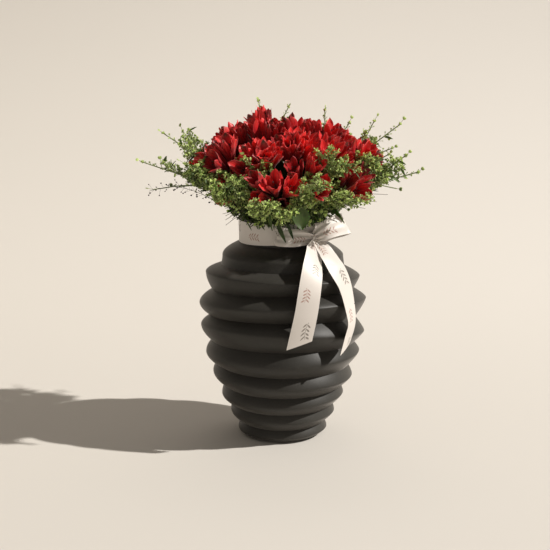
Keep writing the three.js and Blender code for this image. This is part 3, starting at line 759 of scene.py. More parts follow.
MATERIALS = {
    "stoneware": stoneware(),
    "satin": satin(),
    "outer_petal": petal("outer_petal", (0.05, 0.012, 0.006), (0.74, 0.08, 0.085), (0.08, 0.07, 0.03)),
    "inner_petal": petal("inner_petal", (0.06, 0.008, 0.006), (0.78, 0.1, 0.1), (0.42, 0.02, 0.02)),
    "bud": petal("bud_skin", (0.06, 0.07, 0.02), (0.45, 0.03, 0.03), (0.1, 0.1, 0.03)),
    "pedicel": plain("flower_stalk", (0.16, 0.17, 0.05), (0.13, 0.05, 0.03), 0.5, 120),
    "anther": plain("anther", (0.09, 0.075, 0.06), (0.05, 0.02, 0.03), 0.7, 300),
    "filament": plain("filament", (0.5, 0.08, 0.08), (0.42, 0.03, 0.04), 0.5, 200),
    "lily_stem": plain("lily_stalk", (0.11, 0.17, 0.045), (0.06, 0.1, 0.03), 0.5, 80),
    "lily_leaf": greenery("lily_leaf", (0.012, 0.022, 0.007), (0.09, 0.135, 0.03), (0.07, 0.12, 0.03), 0.6),
    "twig": plain("pennycress_twig", (0.22, 0.27, 0.08), (0.11, 0.14, 0.045), 0.55, 150),
    "pod": greenery("pennycress_pod", (0.025, 0.05, 0.01), (0.56, 0.72, 0.2), (0.62, 0.7, 0.28), 0.55),
    "small_leaf": greenery("pennycress_leaf", (0.012, 0.02, 0.004), (0.19, 0.29, 0.055), (0.13, 0.2, 0.05)),
    # One dark colour for the dry twigs and for the pennycress sprig at the left, where the dark colour is
    # painted shade.
    "dark_twig": plain("dark_twig_and_shaded_sprig", (0.05, 0.035, 0.03), (0.025, 0.018, 0.018), 0.6, 200),
}

# ---------------------------------------------------------------- vase


def crest_height(ridge, angle):
    height, _, lift_left, lift_front = ridge
    return height - lift_left * cos(angle) - lift_front * sin(angle)


def groove(lower, upper, angle):
    """The radius and height of the groove between two ridges."""
    radius = (lower[1] + upper[1]) / 2 - (upper[0] - lower[0]) * GROOVE_DEPTH
    return radius, lerp(crest_height(lower, angle), crest_height(upper, angle), GROOVE_PLACE)


def vase_outline(angle):
    """The vase's outline at one angle, from the middle of its foot, up the outside and down inside."""
    roundness = CREST_ROUNDNESS - CREST_SHARPER_RIGHT * cos(angle)

    def face(crest, low, share):
        radius = low[0] + (crest[0] - low[0]) * (1 - share**roundness)
        return radius, crest[1] + (low[1] - crest[1]) * share

    crests = [(ridge[1], crest_height(ridge, angle)) for ridge in RIDGES]
    foot_edge = (FOOT_RADIUS, FOOT_EDGE)
    grooves = [groove(a, b, angle) for a, b in zip(RIDGES, RIDGES[1:])]
    lows = [foot_edge, *grooves, (NECK_RADIUS, NECK_BOTTOM)]
    outline = [(FOOT_OPEN, 0), (FOOT_RADIUS - 2 * FOOT_EDGE, 0), foot_edge]
    for crest, below, above in zip(crests, lows, lows[1:]):
        outline += [face(crest, below, share) for share in reversed(FACE_SHARES)]
        outline.append(crest)
        outline += [face(crest, above, share) for share in FACE_SHARES]
        outline.append(above)
    outline += [
        (NECK_RADIUS, (NECK_BOTTOM + RIM_HEIGHT) / 2),
        (NECK_RADIUS, RIM_HEIGHT - RIM_ROUNDING),
        (NECK_RADIUS - RIM_CORNER, RIM_HEIGHT - RIM_CORNER),
        (NECK_RADIUS - RIM_ROUNDING, RIM_HEIGHT),
        (MOUTH_RADIUS + 1, RIM_HEIGHT),
        (MOUTH_RADIUS, RIM_HEIGHT - 1),
        (MOUTH_RADIUS, NECK_BOTTOM - WALL),
    ]
    for lower, upper in reversed(list(zip(RIDGES[1:], RIDGES[2:]))):
        radius, height = groove(lower, upper, pi)
        outline.append((radius - WALL, height))
    return outline + [(FOOT_RADIUS - WALL, FLOOR), (FLOOR_OPEN, FLOOR)]


def close_ends():
    """Fills the two open rings of the vase's foot and floor, each with one flat face."""
    set_mode("EDIT")
    for height, radius in ((0, FOOT_OPEN), (FLOOR, FLOOR_OPEN)):
        select_points(lambda p: abs(p.z - height) < SAME_HEIGHT and hypot(p.x, p.y) < radius + 0.1)
        bpy.ops.mesh.edge_face_add()
    set_mode("OBJECT")


def make_vase():
    """A ring drawn up row by row, whose rows are then set to the outline and closed at both ends."""
    outlines = [vase_outline(step / VASE_SIDES * TURN) for step in range(VASE_SIDES)]
    bpy.ops.mesh.primitive_circle_add(vertices=VASE_SIDES, radius=FOOT_RADIUS * MM, location=(0, 0, 0))
    set_mode("EDIT")
    for _ in outlines[0][1:]:
        extrude((0, 0, 1))
    set_mode("OBJECT")
    made = bpy.context.object
    made.name = made.data.name = "stoneware_vase"
    for vertex in made.data.vertices:
        row = round(vertex.co.z / MM)
        step = round(atan2(vertex.co.y, vertex.co.x) / TURN * VASE_SIDES) % VASE_SIDES
        radius, height = outlines[step][row]
        vertex.co = polar(radius, step / VASE_SIDES * TURN, height) * MM
    close_ends()
    outwards(made)
    made.data.materials.append(MATERIALS["stoneware"])
    smooth(made, 40)
    stand_for(made, "vase")


# ---------------------------------------------------------------- ribbon


def ribbon_piece(name, rows, points_across, point_at, length):
    """A strip of ribbon: a grid whose points are set by point_at(across, share), given thickness."""
    bpy.ops.mesh.primitive_grid_add(x_subdivisions=points_across, y_subdivisions=rows, size=2)
    made = bpy.context.object
    made.name = made.data.name = name
    grain = []
    for vertex in made.data.vertices:
        across, share = vertex.co.x, (vertex.co.y + 1) / 2
        grain.append((across, share * length, 0))
        vertex.co = point_at(across, share) * MM
    add_grain(made.data, grain)
    outwards(finish_mesh([thickened(RIBBON_THICKNESS)]))
    made.data.materials.append(MATERIALS["satin"])
    smooth(made, 60)
    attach(made, "root")
    return made


def make_band():
    """The ribbon once round the neck, with slight slack waves and creases towards the knot."""
    radius = NECK_RADIUS + BAND_CLEARANCE

    def point_at(across, share):
        angle = KNOT_ANGLE + TURN * (share - 0.5)
        from_knot = abs(share - 0.5) * 2
        crease = 0.5 * sin(angle * 11 + across * 2.2) ** 2 * (0.35 + 0.65 * (1 - from_knot) ** 4)
        lean = max(0.35 * across * sin(angle * 2 + 0.8), -0.2)
        near_knot = (1 - from_knot) ** 3
        squeeze = 1 - 0.2 * near_knot
        middle = RIBBON_MIDDLE + 2.5 * near_knot
        height = middle + across * RIBBON_WIDTH / 2 * squeeze + 0.5 * sin(angle * 3)
        return polar(radius + crease + lean, angle + 0.02, height)

    band = ribbon_piece("ribbon_round_neck", 181, 9, point_at, TURN * radius)
    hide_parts("ribbon_band")


def make_strip(name, points, rows, width_at, across_at, slant=0.0):
    """A strip that follows a line from the knot. Where it is narrower than the ribbon it lies in pleats."""
    line = Line(points)

    def point_at(across, share):
        width = width_at(share)
        way = line.way(share)
        side = across_at(share, line.at(share), way)
        side = (side - way * side.dot(way)).normalized()
        out = side.cross(way).normalized()
        slack = max(RIBBON_WIDTH - width, 0) / RIBBON_WIDTH
        fold = slack * PLEAT_DEPTH * cos(PLEATS * pi * across)
        curl = EDGE_CURL * (across**2 - 0.4) * (1 - slack)
        end = slant * across * max(share - 0.8, 0) / 0.2
        return line.at(share) + side * (across * width / 2) + out * (fold + curl) + way * end

    ribbon_piece(name, rows, 13, point_at, line.length())


def make_loop(name, points, direction, widest):
    def width(share):
        return 12 + (widest - 13) * sin(pi * share) ** 0.6

    make_strip(name, points, 49, width, lambda share, point, way: direction)


def make_tail(name, points, turn, slant):
    def width(share):
        return min(12 + 95 * share, RIBBON_WIDTH)

    def across(share, point, way):
        side = Vector((point.x, point.y, 0)).cross(way)
        return Quaternion(way, -radians(turn) * share) @ side

    make_strip(name, points, 57, width, across, slant)


def make_knot():
    """The ribbon's short turn over the middle of the bow, pinched in pleats."""
    out = polar(1, KNOT_ANGLE, 0)
    side = UP.cross(out)
    root = polar(KNOT_OUT, KNOT_ANGLE, KNOT_HEIGHT)
    half_height, depth = 7.5, 9.0

    def point_at(across, share):
        turn = (share - 0.5) * pi
        bulge = 1 + 0.16 * cos(across * 3.5 * pi)
        up = sin(turn) * half_height * bulge
        forward = cos(turn) * depth * bulge + 0.3
        wide = across * (5.2 + 2.2 * abs(sin(turn)))
        return root + UP * up + out * forward + side * (wide + 1.2 * sin(turn * 2))

    knot = ribbon_piece("ribbon_knot", 25, 29, point_at, KNOT_LENGTH)
    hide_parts("ribbon_bow")


def make_bow():
    make_loop("ribbon_left_loop", LEFT_LOOP, LEFT_LOOP_ACROSS, LEFT_LOOP_WIDTH)
    make_loop("ribbon_right_loop", RIGHT_LOOP, RIGHT_LOOP_ACROSS, RIBBON_WIDTH)
    make_tail("ribbon_front_tail", FRONT_TAIL, 0, FRONT_TAIL_SLANT)
    make_tail("ribbon_side_tail", SIDE_TAIL, SIDE_TAIL_TURN, SIDE_TAIL_SLANT)
    make_knot()


# ---------------------------------------------------------------- shapes that repeat


def drawn_blade(rows, points_across):
    """A blade drawn out row by row: each row is height, distance from the axis, width and cup."""
    bpy.ops.mesh.primitive_grid_add(x_subdivisions=points_across - 1, y_subdivisions=1, size=2)
    for vertex in bpy.context.object.data.vertices:
        across = vertex.co.x
        height, out, width, cup = rows[1] if vertex.co.y > 0 else rows[0]
        vertex.co = Vector((out - cup * across**2, across * width / 2, height)) * MM
    set_mode("EDIT")
    for (z0, x0, w0, c0), (z1, x1, w1, c1) in zip(rows[1:], rows[2:]):
        select_points(lambda p: abs(p.z - z0) < SAME_HEIGHT)
        extrude((x1 - x0, 0, z1 - z0), (c1 / c0, w1 / w0, 1), (x1, 0, z1))


def blade_shape(made, rows):
    """A blade's shape, with how far each point is from its middle line to its edge, and along it."""
    heights = [row[0] for row in rows]
    widths = [row[2] for row in rows]

    def place_of(x, y, z):
        half = max(float(np.interp(z, heights, widths)) / 2, 0.1)
        return clamp(y / half, -1), (z - heights[0]) / (heights[-1] - heights[0])

    return shape_of(made, place_of)


# Rows of a petal: height, distance from the axis, width and cup. The variants: ruffle, curl and phase.
OUTER_PETAL = [
    (13.5, 1.6, 2.4, 0.4),
    (18, 2.9, 4.8, 1.1),
    (24, 4.8, 7.2, 1.9),
    (31, 6.9, 9.4, 2.5),
    (38, 9.3, 12.4, 3.0),
    (44, 12.0, 15.4, 3.2),
    (49, 14.3, 15.6, 2.8),
    (53, 15.8, 11.6, 2.0),
    (55.8, 16.4, 6.2, 1.0),
    (57.4, 16.6, 1.2, 0.2),
]
INNER_PETAL = [
    (14, 1.1, 2.0, 0.3),
    (20, 2.5, 3.8, 0.8),
    (28, 4.7, 6.0, 1.4),
    (37, 7.0, 8.6, 1.9),
    (46, 9.6, 11.0, 2.1),
    (52, 11.2, 9.4, 1.6),
    (56, 12.0, 5.0, 0.8),
    (58, 12.2, 1.0, 0.2),
]
PETAL_KINDS = [(0.9, 0.5, 0.0), (1.3, -0.55, 2.1), (0.7, 0.05, 4.2)]
PETAL_THICKNESS = 0.4
LEAF_UNIT = 100
LEAF_THICKNESS = 0.3


def petal_variants(rows, openness):
    """Petals of one kind, each with its own ruffled edge and curl of the tip."""
    drawn_blade(rows, 5)
    levels = 0 if openness == CLOSED else 1
    modifiers = [("SUBSURF", {"levels": levels, "render_levels": levels})] * levels
    flat = blade_shape(outwards(finish_mesh(modifiers + [thickened(PETAL_THICKNESS)])), rows)

    def variant(ruffle, curl, phase):
        def move(x, y, z, across, length):
            opened = 1 + (openness - 1) * clamp((z - 24) / 16)
            wave = ruffle * sin(z * 0.55 + phase + across * 1.2) * across**2 * length
            bend = curl * max(length - 0.62, 0) ** 2 * 30
            ridge = 0.35 * cos(across * pi) * length * (1 - length) * 4
            out = x * opened + wave + bend + ridge * 0.6
            return out, y * (0.97 + 0.06 * sin(phase)), z - abs(bend) * 0.3

        return reshaped(flat, move)

    return [variant(*kind) for kind in PETAL_KINDS]


def tube_shape(rows, sides):
    low, high = rows[0][0], rows[-1][0]

    def place_of(x, y, z):
        return sin(atan2(y, x) * 3), (z - low) / (high - low)

    return shape_of(modelled_tube(rows, sides), place_of)


def pod_shape():
    """A flat round pod with a notch at its tip: a squashed ball, with its middle at the origin."""
    bpy.ops.mesh.primitive_uv_sphere_add(segments=8, ring_count=4, radius=POD_RADIUS * MM, location=(0, 0, 0))
    set_mode("EDIT")
    bpy.ops.transform.resize(value=(1.06, 1, 0.26))
    bpy.ops.transform.rotate(value=pi / 2, orient_axis="X", center_override=(0, 0, 0))

    def place_of(x, y, z):
        return min(hypot(x, z) / POD_RADIUS, 1), (z + POD_RADIUS) / (2 * POD_RADIUS)

    def notched(x, y, z, across, length):
        return x, y, z - 1.5 * max(1 - abs(x) / 1.4, 0) * (z > 2)

    return reshaped(shape_of(finish_mesh(), place_of), notched)


def leaf_shape(points_across, rows):
    """A flat pointed leaf, to be bent into place: LEAF_UNIT long and wide, across in Y and along in Z."""
    outline = []
    for i in range(rows + 1):
        narrowest = 0.12 if i < rows else 0.02
        width = max(sin(pi * (i / rows) ** 0.75) ** 0.8, narrowest)
        outline.append((i / rows * LEAF_UNIT, 0, width * LEAF_UNIT, 1))
    drawn_blade(outline, points_across)
    return blade_shape(finish_mesh(), outline)


LEAF = leaf_shape(5, 8)
SMALL_LEAF = leaf_shape(3, 4)
PETALS = {
    openness: (petal_variants(OUTER_PETAL, openness), petal_variants(INNER_PETAL, openness))
    for openness in (1, 0.78, CLOSED)
}
PEDICEL_ROWS = [(0, 0.9), (6, 0.85), (10, 1.1), (12.5, 2.1), (15, 2.3), (17, 1.6)]
PEDICEL_SHAPE = tube_shape([(*row, 0) for row in PEDICEL_ROWS], 8)
BUD_ROWS = [(12, 1.4), (15, 3.1), (20, 4.9), (26, 5.4), (33, 4.8), (39, 3.2), (43.5, 1.5), (46, 0.4)]
BUD_SHAPE = tube_shape([(*row, 0) for row in BUD_ROWS], 12)
FILAMENT_SHAPE = tube_shape([(16, 0.5, 0.6), (28, 0.4, 2.6), (38, 0.35, 4.6), (44, 0.3, 4.2)], 4)
ANTHER_SHAPE = tube_shape([(43, 0.3, 4.2), (44.2, 1.0, 4.0), (46.2, 0.9, 3.8), (47.2, 0.25, 3.8)], 5)
SEED_BUD = tube_shape([(-1, 0.35, 0), (-0.5, 0.9, 0), (0.4, 1.0, 0), (1.1, 0.4, 0)], 5)
POD = pod_shape()
# A thin stalk, 1 long and 1 in radius, which copies are scaled from.
STALK = shape_of(modelled_tube([(0, 1, 0), (1, 0.8, 0)], 3), lambda x, y, z: (0, z))


def rim_faces(faces, count):
    """The faces that join a sheet's open edge to the same edge of its copy."""
    edges = {(a, b): True for face in faces for a, b in zip(face, face[1:] + face[:1])}
    return [[a, b, b + count, a + count] for a, b in edges if (b, a) not in edges]


def bent_leaf(piece, shape, root, way, side, length, width, droop, look, tint, fold=0.12, wave=0.0):
    """Adds a leaf that is bent down along its length, with its two halves folded up."""
    root, way, side = np.array(root), np.array(way.normalized()), np.array(side.normalized())
    across, share = shape.place[:, 0:1], shape.place[:, 1:2]
    out = np.cross(side, way)
    line = root + way * share * length - np.array(UP) * droop * length * share**2
    lift = np.abs(across) * width * fold + wave * np.sin(share * 14 + across * 2) * across**2
    points = line + side * (shape.points[:, 1:2] / LEAF_UNIT) * width + out * lift
    half = out * (LEAF_THICKNESS / 2)
    count = len(points)
    back = [[i + count for i in face] for face in shape.faces]
    front = [list(reversed(face)) for face in shape.faces]
    faces = front + back + rim_faces(shape.faces, count)
    both = Shape(np.vstack([points - half, points + half]), faces, np.vstack([shape.place, shape.place]))
    piece.add(both, None, look, tint)


def tube_along(piece, points, radius, end_radius, sides, look):
    """A stalk along points, closed at both ends."""
    across = (points[1] - points[0]).cross(NO_STALKS_WAY).normalized()
    last = len(points) - 1
    rings = []
    place = []
    for i, point in enumerate(points):
        way = (points[min(i + 1, last)] - points[max(i - 1, 0)]).normalized()
        across = (across - way * across.dot(way)).normalized()
        other = way.cross(across)
        r = lerp(radius, end_radius, i / last)
        for k in range(sides):
            angle = k / sides * TURN
            rings.append(point + across * (r * cos(angle)) + other * (r * sin(angle)))
            place.append((0.0, i / last))
    faces = [list(reversed(range(sides))), [last * sides + k for k in range(sides)]]
    for i, k in product(range(last), range(sides)):
        a, b = i * sides + k, i * sides + (k + 1) % sides
        faces.append([a, b, b + sides, a + sides])
    piece.add(Shape(np.array(rings), faces, np.array(place)), None, look)


def add_twig(piece, start, middle, tip, steps, end_radius=0.4):
    """A thin green twig with one bend."""
    twig = Line([start, middle, tip])
    tube_along(piece, twig.spaced(steps), TWIG_RADIUS, end_radius, 3, "twig")
    return twig


# ---------------------------------------------------------------- the bouquet's lines


def stem_line(end):
    """A stem's cut end and the smooth line of its upper part."""
    away = atan2(end.y, end.x)
    reach = hypot(end.x, end.y)
    in_neck = NECK_SPREAD * (reach / WIDEST_REACH) ** 0.8
    foot = polar(in_neck * 0.9, away + radians(STEM_TWIST), STEM_FOOT)
    neck = polar(in_neck, away, NECK_HEIGHT)
    lip = polar(in_neck * 1.25, away, LIP_HEIGHT)
    middle = lerp(lip, end, 0.45) + UP * ((end.z - LIP_HEIGHT) * 0.1)
    return foot, Line([neck, lip, middle, end])


def branch_line(stem, tip):
    point, way = along(stem.spaced(STEM_STEPS), BRANCH_START)
    knee = lerp(point + way * BRANCH_KNEE, tip, 0.3)
    return Line([point, knee, tip])


def spiral(line, count, first, last, leans, random):
    """Places in a spiral along a line, each with a direction that leans from it."""
    for i in range(count):
        share = lerp(first, last, (i + random()) / count)
        out = leaning(line.way(share), leans[0] + leans[1] * random(), i * GOLDEN_ANGLE)
        yield line.at(share), out


def head_pose(h):
    """A head's hub, which its flowers grow from, and the direction of its middle flower."""
    mouth = Vector(HEADS[h][0])
    axis = (mouth - UP * BINDING_HEIGHT).normalized()
    return mouth - axis * HEAD_LENGTH, axis


def flower_place(h, i, attempt):
    _, ring, head_lean, turn = HEADS[h]
    random = dice(1, h, i, attempt)
    root, axis = head_pose(h)
    lean = 2 + 5 * random() if i == 0 else head_lean + (8 + 3 * attempt) * (random() - 0.5)
    around = turn + i * 360 / ring + (12 + 8 * attempt) * (random() - 0.5)
    stretch = 0.92 + 0.16 * random()
    return stretch, standing(root, leaning(axis, lean, radians(around)), TURN * random())


def flowers_of(h):
    """The flowers that the CAD head holds: (openness, stretch, matrix)."""
    corners = corners_of("lily_head_" + label(h))
    for i in range(HEADS[h][1] + 1):
        for openness, attempt in product(OPENNESS, range(FLOWER_TRIES)):
            stretch, matrix = flower_place(h, i, attempt)
            reach = FLOWER_REACH - 2 if openness else BUD_REACH
            if holds(corners, matrix @ Vector((MOUTH_HALF * openness, 0, reach * stretch))):
                yield openness, stretch, matrix
                break


def pod_place(twig, start, count, seeds, i):
    random = dice(2, *seeds, i)
    near_tip = i / (count - 1)
    share = start + (0.995 - start) * near_tip
    point, way = along(twig, share)
    lean = 8 if i == count - 1 else 50 + 30 * random()
    out = leaning(way, lean, i * GOLDEN_ANGLE + 0.8 * random()) + UP * 0.2
    length = POD_STALK * (0.7 + 0.8 * random()) * (1.35 - 0.6 * near_tip)
    return share, length, standing(point, out.normalized(), TURN * random())


def leaf_place(stem, seed, i, attempt):
    random = dice(3, seed, i, attempt)
    share = 0.38 + 0.5 * (i + random()) / STEM_LEAVES
    point, way = along(stem, share)
    out = leaning(way, 38 + 22 * random(), i * 2 * GOLDEN_ANGLE + 2 * random())
    length = LEAF_LENGTH * (0.75 + 0.5 * random())
    droop = 0.1 + 0.3 * random()
    return share, point, out, length, droop


def underside(point):
    """The height of the bouquet's underside: it rises outwards from the rim, more steeply at the left."""
    reach = hypot(point.x, point.y)
    slope = UNDERSIDE_SLOPE - UNDERSIDE_STEEPER_LEFT * point.x / max(reach, 1)
    steep = max(min(reach, UNDERSIDE_BEND) - UNDERSIDE_RIM, 0) * slope
    return RIM_HEIGHT + steep + max(reach - UNDERSIDE_BEND, 0) * UNDERSIDE_OUTER_SLOPE


LOW, HIGH = (corner / MM for corner in cad_box)


def in_box(point, reach):
    return all(LOW[k] + EDGE + reach < point[k] < HIGH[k] - EDGE - reach for k in range(3))


def room_for(point, reach):
    """Whether there is room for a small green there: over the underside, off the vase, out of the petals."""
    over = point.z > underside(point) + 0.6 * reach
    off_axis = hypot(point.x, point.y)
    hangs = NECK_RADIUS + 4 < off_axis < HANG_REACH and point.z > HANG_LOWEST and point.y < HANG_FRONT
    return in_box(point, reach) and (over or hangs) and crown_tree.find(point)[2] > CROWN_RADIUS + reach


# ---------------------------------------------------------------- lilies

crowns = []  # the points that the greens keep away from


def add_flower(piece, openness, stretch, matrix, random):
    """Three outer petals and three inner ones, with stamens, on a stalk with a swelling."""
    matrix = matrix @ drawn_out(1, stretch)
    piece.add(PEDICEL_SHAPE, matrix, "pedicel")
    outer, inner = PETALS[openness]
    tint = 0.12 + 0.8 * random()
    at_root = raised(14)
    for k in range(6):
        kinds, look = (outer, "outer_petal") if k % 2 == 0 else (inner, "inner_petal")
        shape = kinds[int(random() * 3)]
        turn = turned(60 * k + 10 * (random() - 0.5))
        tilt = turned(6 * (random() - 0.45), "Y")
        size = 0.94 + 0.1 * random()
        move = matrix @ turn @ at_root @ tilt @ Matrix.Scale(size, 4) @ at_root.inverted()
        piece.add(shape, move, look, clamp(tint + 0.4 * (random() - 0.5)))
    for k in range(5):
        turn = turned(72 * k + 30 * random())
        size = drawn_out(1, 0.85 + 0.2 * random())
        piece.add(FILAMENT_SHAPE, matrix @ turn @ size, "filament")
        piece.add(ANTHER_SHAPE, matrix @ turn @ size, "anther")
    crowns.extend(matrix @ Vector((0, 0, height)) for height in CROWN_HEIGHTS)


def add_bud(piece, stretch, matrix, random):
    matrix = matrix @ drawn_out(1, stretch)
    piece.add(PEDICEL_SHAPE, matrix, "pedicel")
    piece.add(BUD_SHAPE, matrix, "bud", 0.3 + 0.6 * random())
    crowns.append(matrix @ Vector((0, 0, 34)))


def add_inner_flowers(piece, h, random):
    """Smaller flowers between a head's middle flower and its ring."""
    root, axis = head_pose(h)
    for k in range(INNER_FLOWERS[h]):
        around = radians(HEADS[h][3]) + (k + 0.5 * random()) * TURN / INNER_FLOWERS[h]
        out = leaning(axis, 12 + 24 * random(), around)
        stretch = 0.9 + 0.12 * random()
        add_flower(piece, CLOSED, stretch, standing(root, out, ANY_TURN * random()), random)
    for mouth in MORE_FUNNELS.get(h, []):
        stretch = 0.95 + 0.1 * random()
        add_flower(piece, CLOSED, stretch, standing(root, Vector(mouth) - root, ANY_TURN * random()), random)
    for mouth in STANDING_BUDS.get(h, []):
        way = Vector(mouth) - root
        slim = standing(root, way, ANY_TURN * random()) @ drawn_out(0.72, 1)
        add_flower(piece, CLOSED, way.length / FLOWER_REACH, slim, random)


def make_head(h):
    piece = Piece("lily_head_fine_" + label(h))
    root, axis = head_pose(h)
    random = dice(11, h)
    add_inner_flowers(piece, h, random)
    for openness, stretch, matrix in flowers_of(h):
        mouth = matrix @ Vector((0, 0, FLOWER_REACH))
        if not openness:
            add_bud(piece, stretch, matrix, random)
        elif mouth.z < underside(mouth):
            add_flower(piece, CLOSED, stretch * 0.8, matrix, random)
        else:
            add_flower(piece, openness, stretch, matrix, random)
    hub = standing(root - axis * HUB_RADIUS, axis) @ Matrix.Scale(3.0, 4) @ raised(1)
    piece.add(SEED_BUD, hub, "pedicel")
    for k in range(4):
        out = leaning(axis, 62 + 20 * random(), k * pi / 2 + random())
        length = 16 + 8 * random()
        bent_leaf(piece, SMALL_LEAF, root, out, out.cross(UP), length, 3.6, 0.25, "lily_leaf", random())
    piece.make("lily_head_" + label(h))


def add_cad_leaves(piece, corners, line, h, random):
    """The leaves that the CAD stem holds, at their own places."""
    steps = line.spaced(STEM_STEPS)
    for i in range(STEM_LEAVES):
        for attempt in range(LEAF_TRIES):
            share, point, out, length, droop = leaf_place(steps, h, i, attempt)
            if holds(corners, point + out * length - UP * (droop * length)):
                tint = 0.2 + 0.6 * random()
                leaf = (LEAF, line.at(share), out, out.cross(UP), length, LEAF_WIDTH, droop)
                bent_leaf(piece, *leaf, "lily_leaf", tint, fold=0.14, wave=0.5)
                break


def make_lily_stem(h):
    node = "lily_stem_" + label(h)
    root, axis = head_pose(h)
    foot, line = stem_line(root - axis * (HUB_RADIUS + HUB_GAP))
    piece = Piece("lily_stem_fine_" + label(h))
    tube_along(piece, [foot] + line.spaced(20), LILY_STEM_RADIUS, LILY_STEM_RADIUS * 0.6, 8, "lily_stem")
    random = dice(12, h)
    add_cad_leaves(piece, corners_of(node), line, h, random)
    for point, out in spiral(line, MORE_LEAVES, 0.16, 0.94, (24, 30), random):
        length = 24 + 22 * random()
        if room_for(point + out * length, 3):
            tint = 0.5 * random()
            leaf = (LEAF, point, out, out.cross(UP), length, 5 + 4 * random(), 0.15)
            bent_leaf(piece, *leaf, "lily_leaf", tint, fold=0.14, wave=0.4)
    for start, tip in HOLLOW_LEAVES.get(h, []):
        way = Vector(tip) - Vector(start)
        # The hollow's leaves get a low tint: painted shade.
        bent_leaf(piece, LEAF, start, way, way.cross(TO_FRONT), way.length, 15, 0, "lily_leaf", 0.1)
    piece.make(node)


# ---------------------------------------------------------------- pennycress


def add_pod(piece, matrix, length, size, tint):
    """A pod on its stalk. The matrix stands at the stalk's root."""
    piece.add(STALK, matrix @ drawn_out(POD_STALK_RADIUS, length), "twig")
    disc = matrix @ raised(length + POD_RADIUS * size * 0.9) @ Matrix.Scale(size, 4)
    piece.add(POD, disc, "pod", tint)


def add_raceme(piece, line, random, start, density, painted_shade=0, room=room_for):
    """Pods in a spiral along a twig, so many to a millimetre and smaller towards its tip, and tip buds."""
    count = max(int(line.length() * (1 - start) * density), 4)
    for i in range(count):
        near_tip = i / (count - 1)
        share = start + (0.99 - start) * near_tip
        lean = lerp(74, 30, near_tip**2) + 16 * (random() - 0.5)
        out = leaning(line.way(share), lean, i * GOLDEN_ANGLE + 0.9 * random()) + UP * 0.25
        stalk = (6.5 - 3 * near_tip) * (0.75 + 0.5 * random())
        size = lerp(0.72, 0.3, near_tip**1.5) * (0.8 + 0.4 * random())
        matrix = standing(line.at(share), out.normalized(), TURN * random())
        root = matrix.translation
        # Painted shade: the pods are tinted darker by the shade they are given, and more so near the
        # bouquet's underside.
        low = clamp(1 - (root.z - underside(root)) / PAINTED_SHADE_DEPTH)
        tint = 0.4 + 0.4 * near_tip + 0.8 * (random() - 0.5) - painted_shade - PAINTED_SHADE_STRENGTH * low
        if room(matrix @ Vector((0, 0, stalk + POD_RADIUS)), 3):
            add_pod(piece, matrix, stalk, size, clamp(tint))
    for _ in range(TIP_BUDS):
        out = leaning(line.way(0.99), 100 * random(), TURN * random())
        bud = standing(line.at(1) + out * (0.8 + 1.6 * random()), out)
        if room(bud.translation, 1.5):
            piece.add(SEED_BUD, bud @ Matrix.Scale(0.8 + 0.5 * random(), 4), "pod", 0.8 + 0.2 * random())


def add_small_leaves(piece, line, count, random, first=0.05, last=0.95, tint=0.4, longest=17, lean=45):
    for point, out in spiral(line, count, first, last, (lean, 35), random):
        length = longest * (0.5 + 0.5 * random())
        if room_for(point + out * length, 1):
            side = leaning(out, 90, ANY_TURN * random())
            width = 2.6 + 1.6 * random()
            own_tint = clamp(tint + 0.5 * (random() - 0.5))
            bent_leaf(piece, SMALL_LEAF, point, out, side, length, width, 0.2, "small_leaf", own_tint)


def add_side_twigs(piece, line, count, random, first, last, lengths, painted_shade=0, room=room_for):
    """Side twigs with pods and leaves. The lengths are those of the first and the last one."""
    for i in range(count):
        share = lerp(first, last, (i + 0.6 * random()) / count)
        way = line.way(share)
        out = leaning(way, 26 + 22 * random(), i * GOLDEN_ANGLE + random())
        length = lerp(*lengths, (share - first) / (last - first)) * (0.75 + 0.5 * random())
        start = line.at(share)
        tip = start + out * length + UP * (length * 0.12)
        if room(tip, 4):
            # The painted shade darkens this twig's pods and leaves.
            twig = add_twig(piece, start, lerp(start, tip, 0.5) + way * (length * 0.08), tip, 5)
            add_raceme(piece, twig, random, start=0.12, density=1.15, painted_shade=painted_shade, room=room)
            add_small_leaves(piece, twig, 3, random, tint=min(0.5 - painted_shade, 0.6))


def add_collar(piece, line, count, random):
    """Leafy twigs from where a stem comes over the rim, which lie out over the rim and the ribbon."""
    for _ in range(count):
        start = line.at(0.2 + 0.08 * random())
        away = atan2(start.y, start.x) + (random() - 0.5) * 1.3
        tip = polar(66 + 22 * random(), away, 309 + 26 * random() ** 1.5)
        twig = add_twig(piece, start, lerp(start, tip, 0.5) + UP * 5, tip, 4, 0.35)
        # The collar's leaves and pods are tinted dark: painted shade low in the bouquet.
        add_small_leaves(piece, twig, 15, random, 0.15, 1.0, tint=0.15, longest=15)
        add_raceme(piece, twig, random, start=0.4, density=0.35, painted_shade=0.5)


def add_cad_pods(piece, corners, line, pods, seeds, random):
    """The pods that the CAD spray holds, at their own places."""
    steps, start, count = pods
    points = line.spaced(steps)
    for i in range(count):
        for attempt in range(POD_TRIES):
            share, length, matrix = pod_place(points, start, count, [*seeds, attempt], i)
            if holds(corners, matrix @ Vector((0, 0, length + POD_RADIUS))):
                matrix.translation = line.at(share)
                # Pods under the bouquet's underside get a dark tint: painted shade.
                shaded = matrix.translation.z < underside(matrix.translation)
                tint = 0.05 if shaded else 0.5 + 0.4 * random()
                add_pod(piece, matrix, length - POD_RADIUS - 1, 0.8, tint)
                break


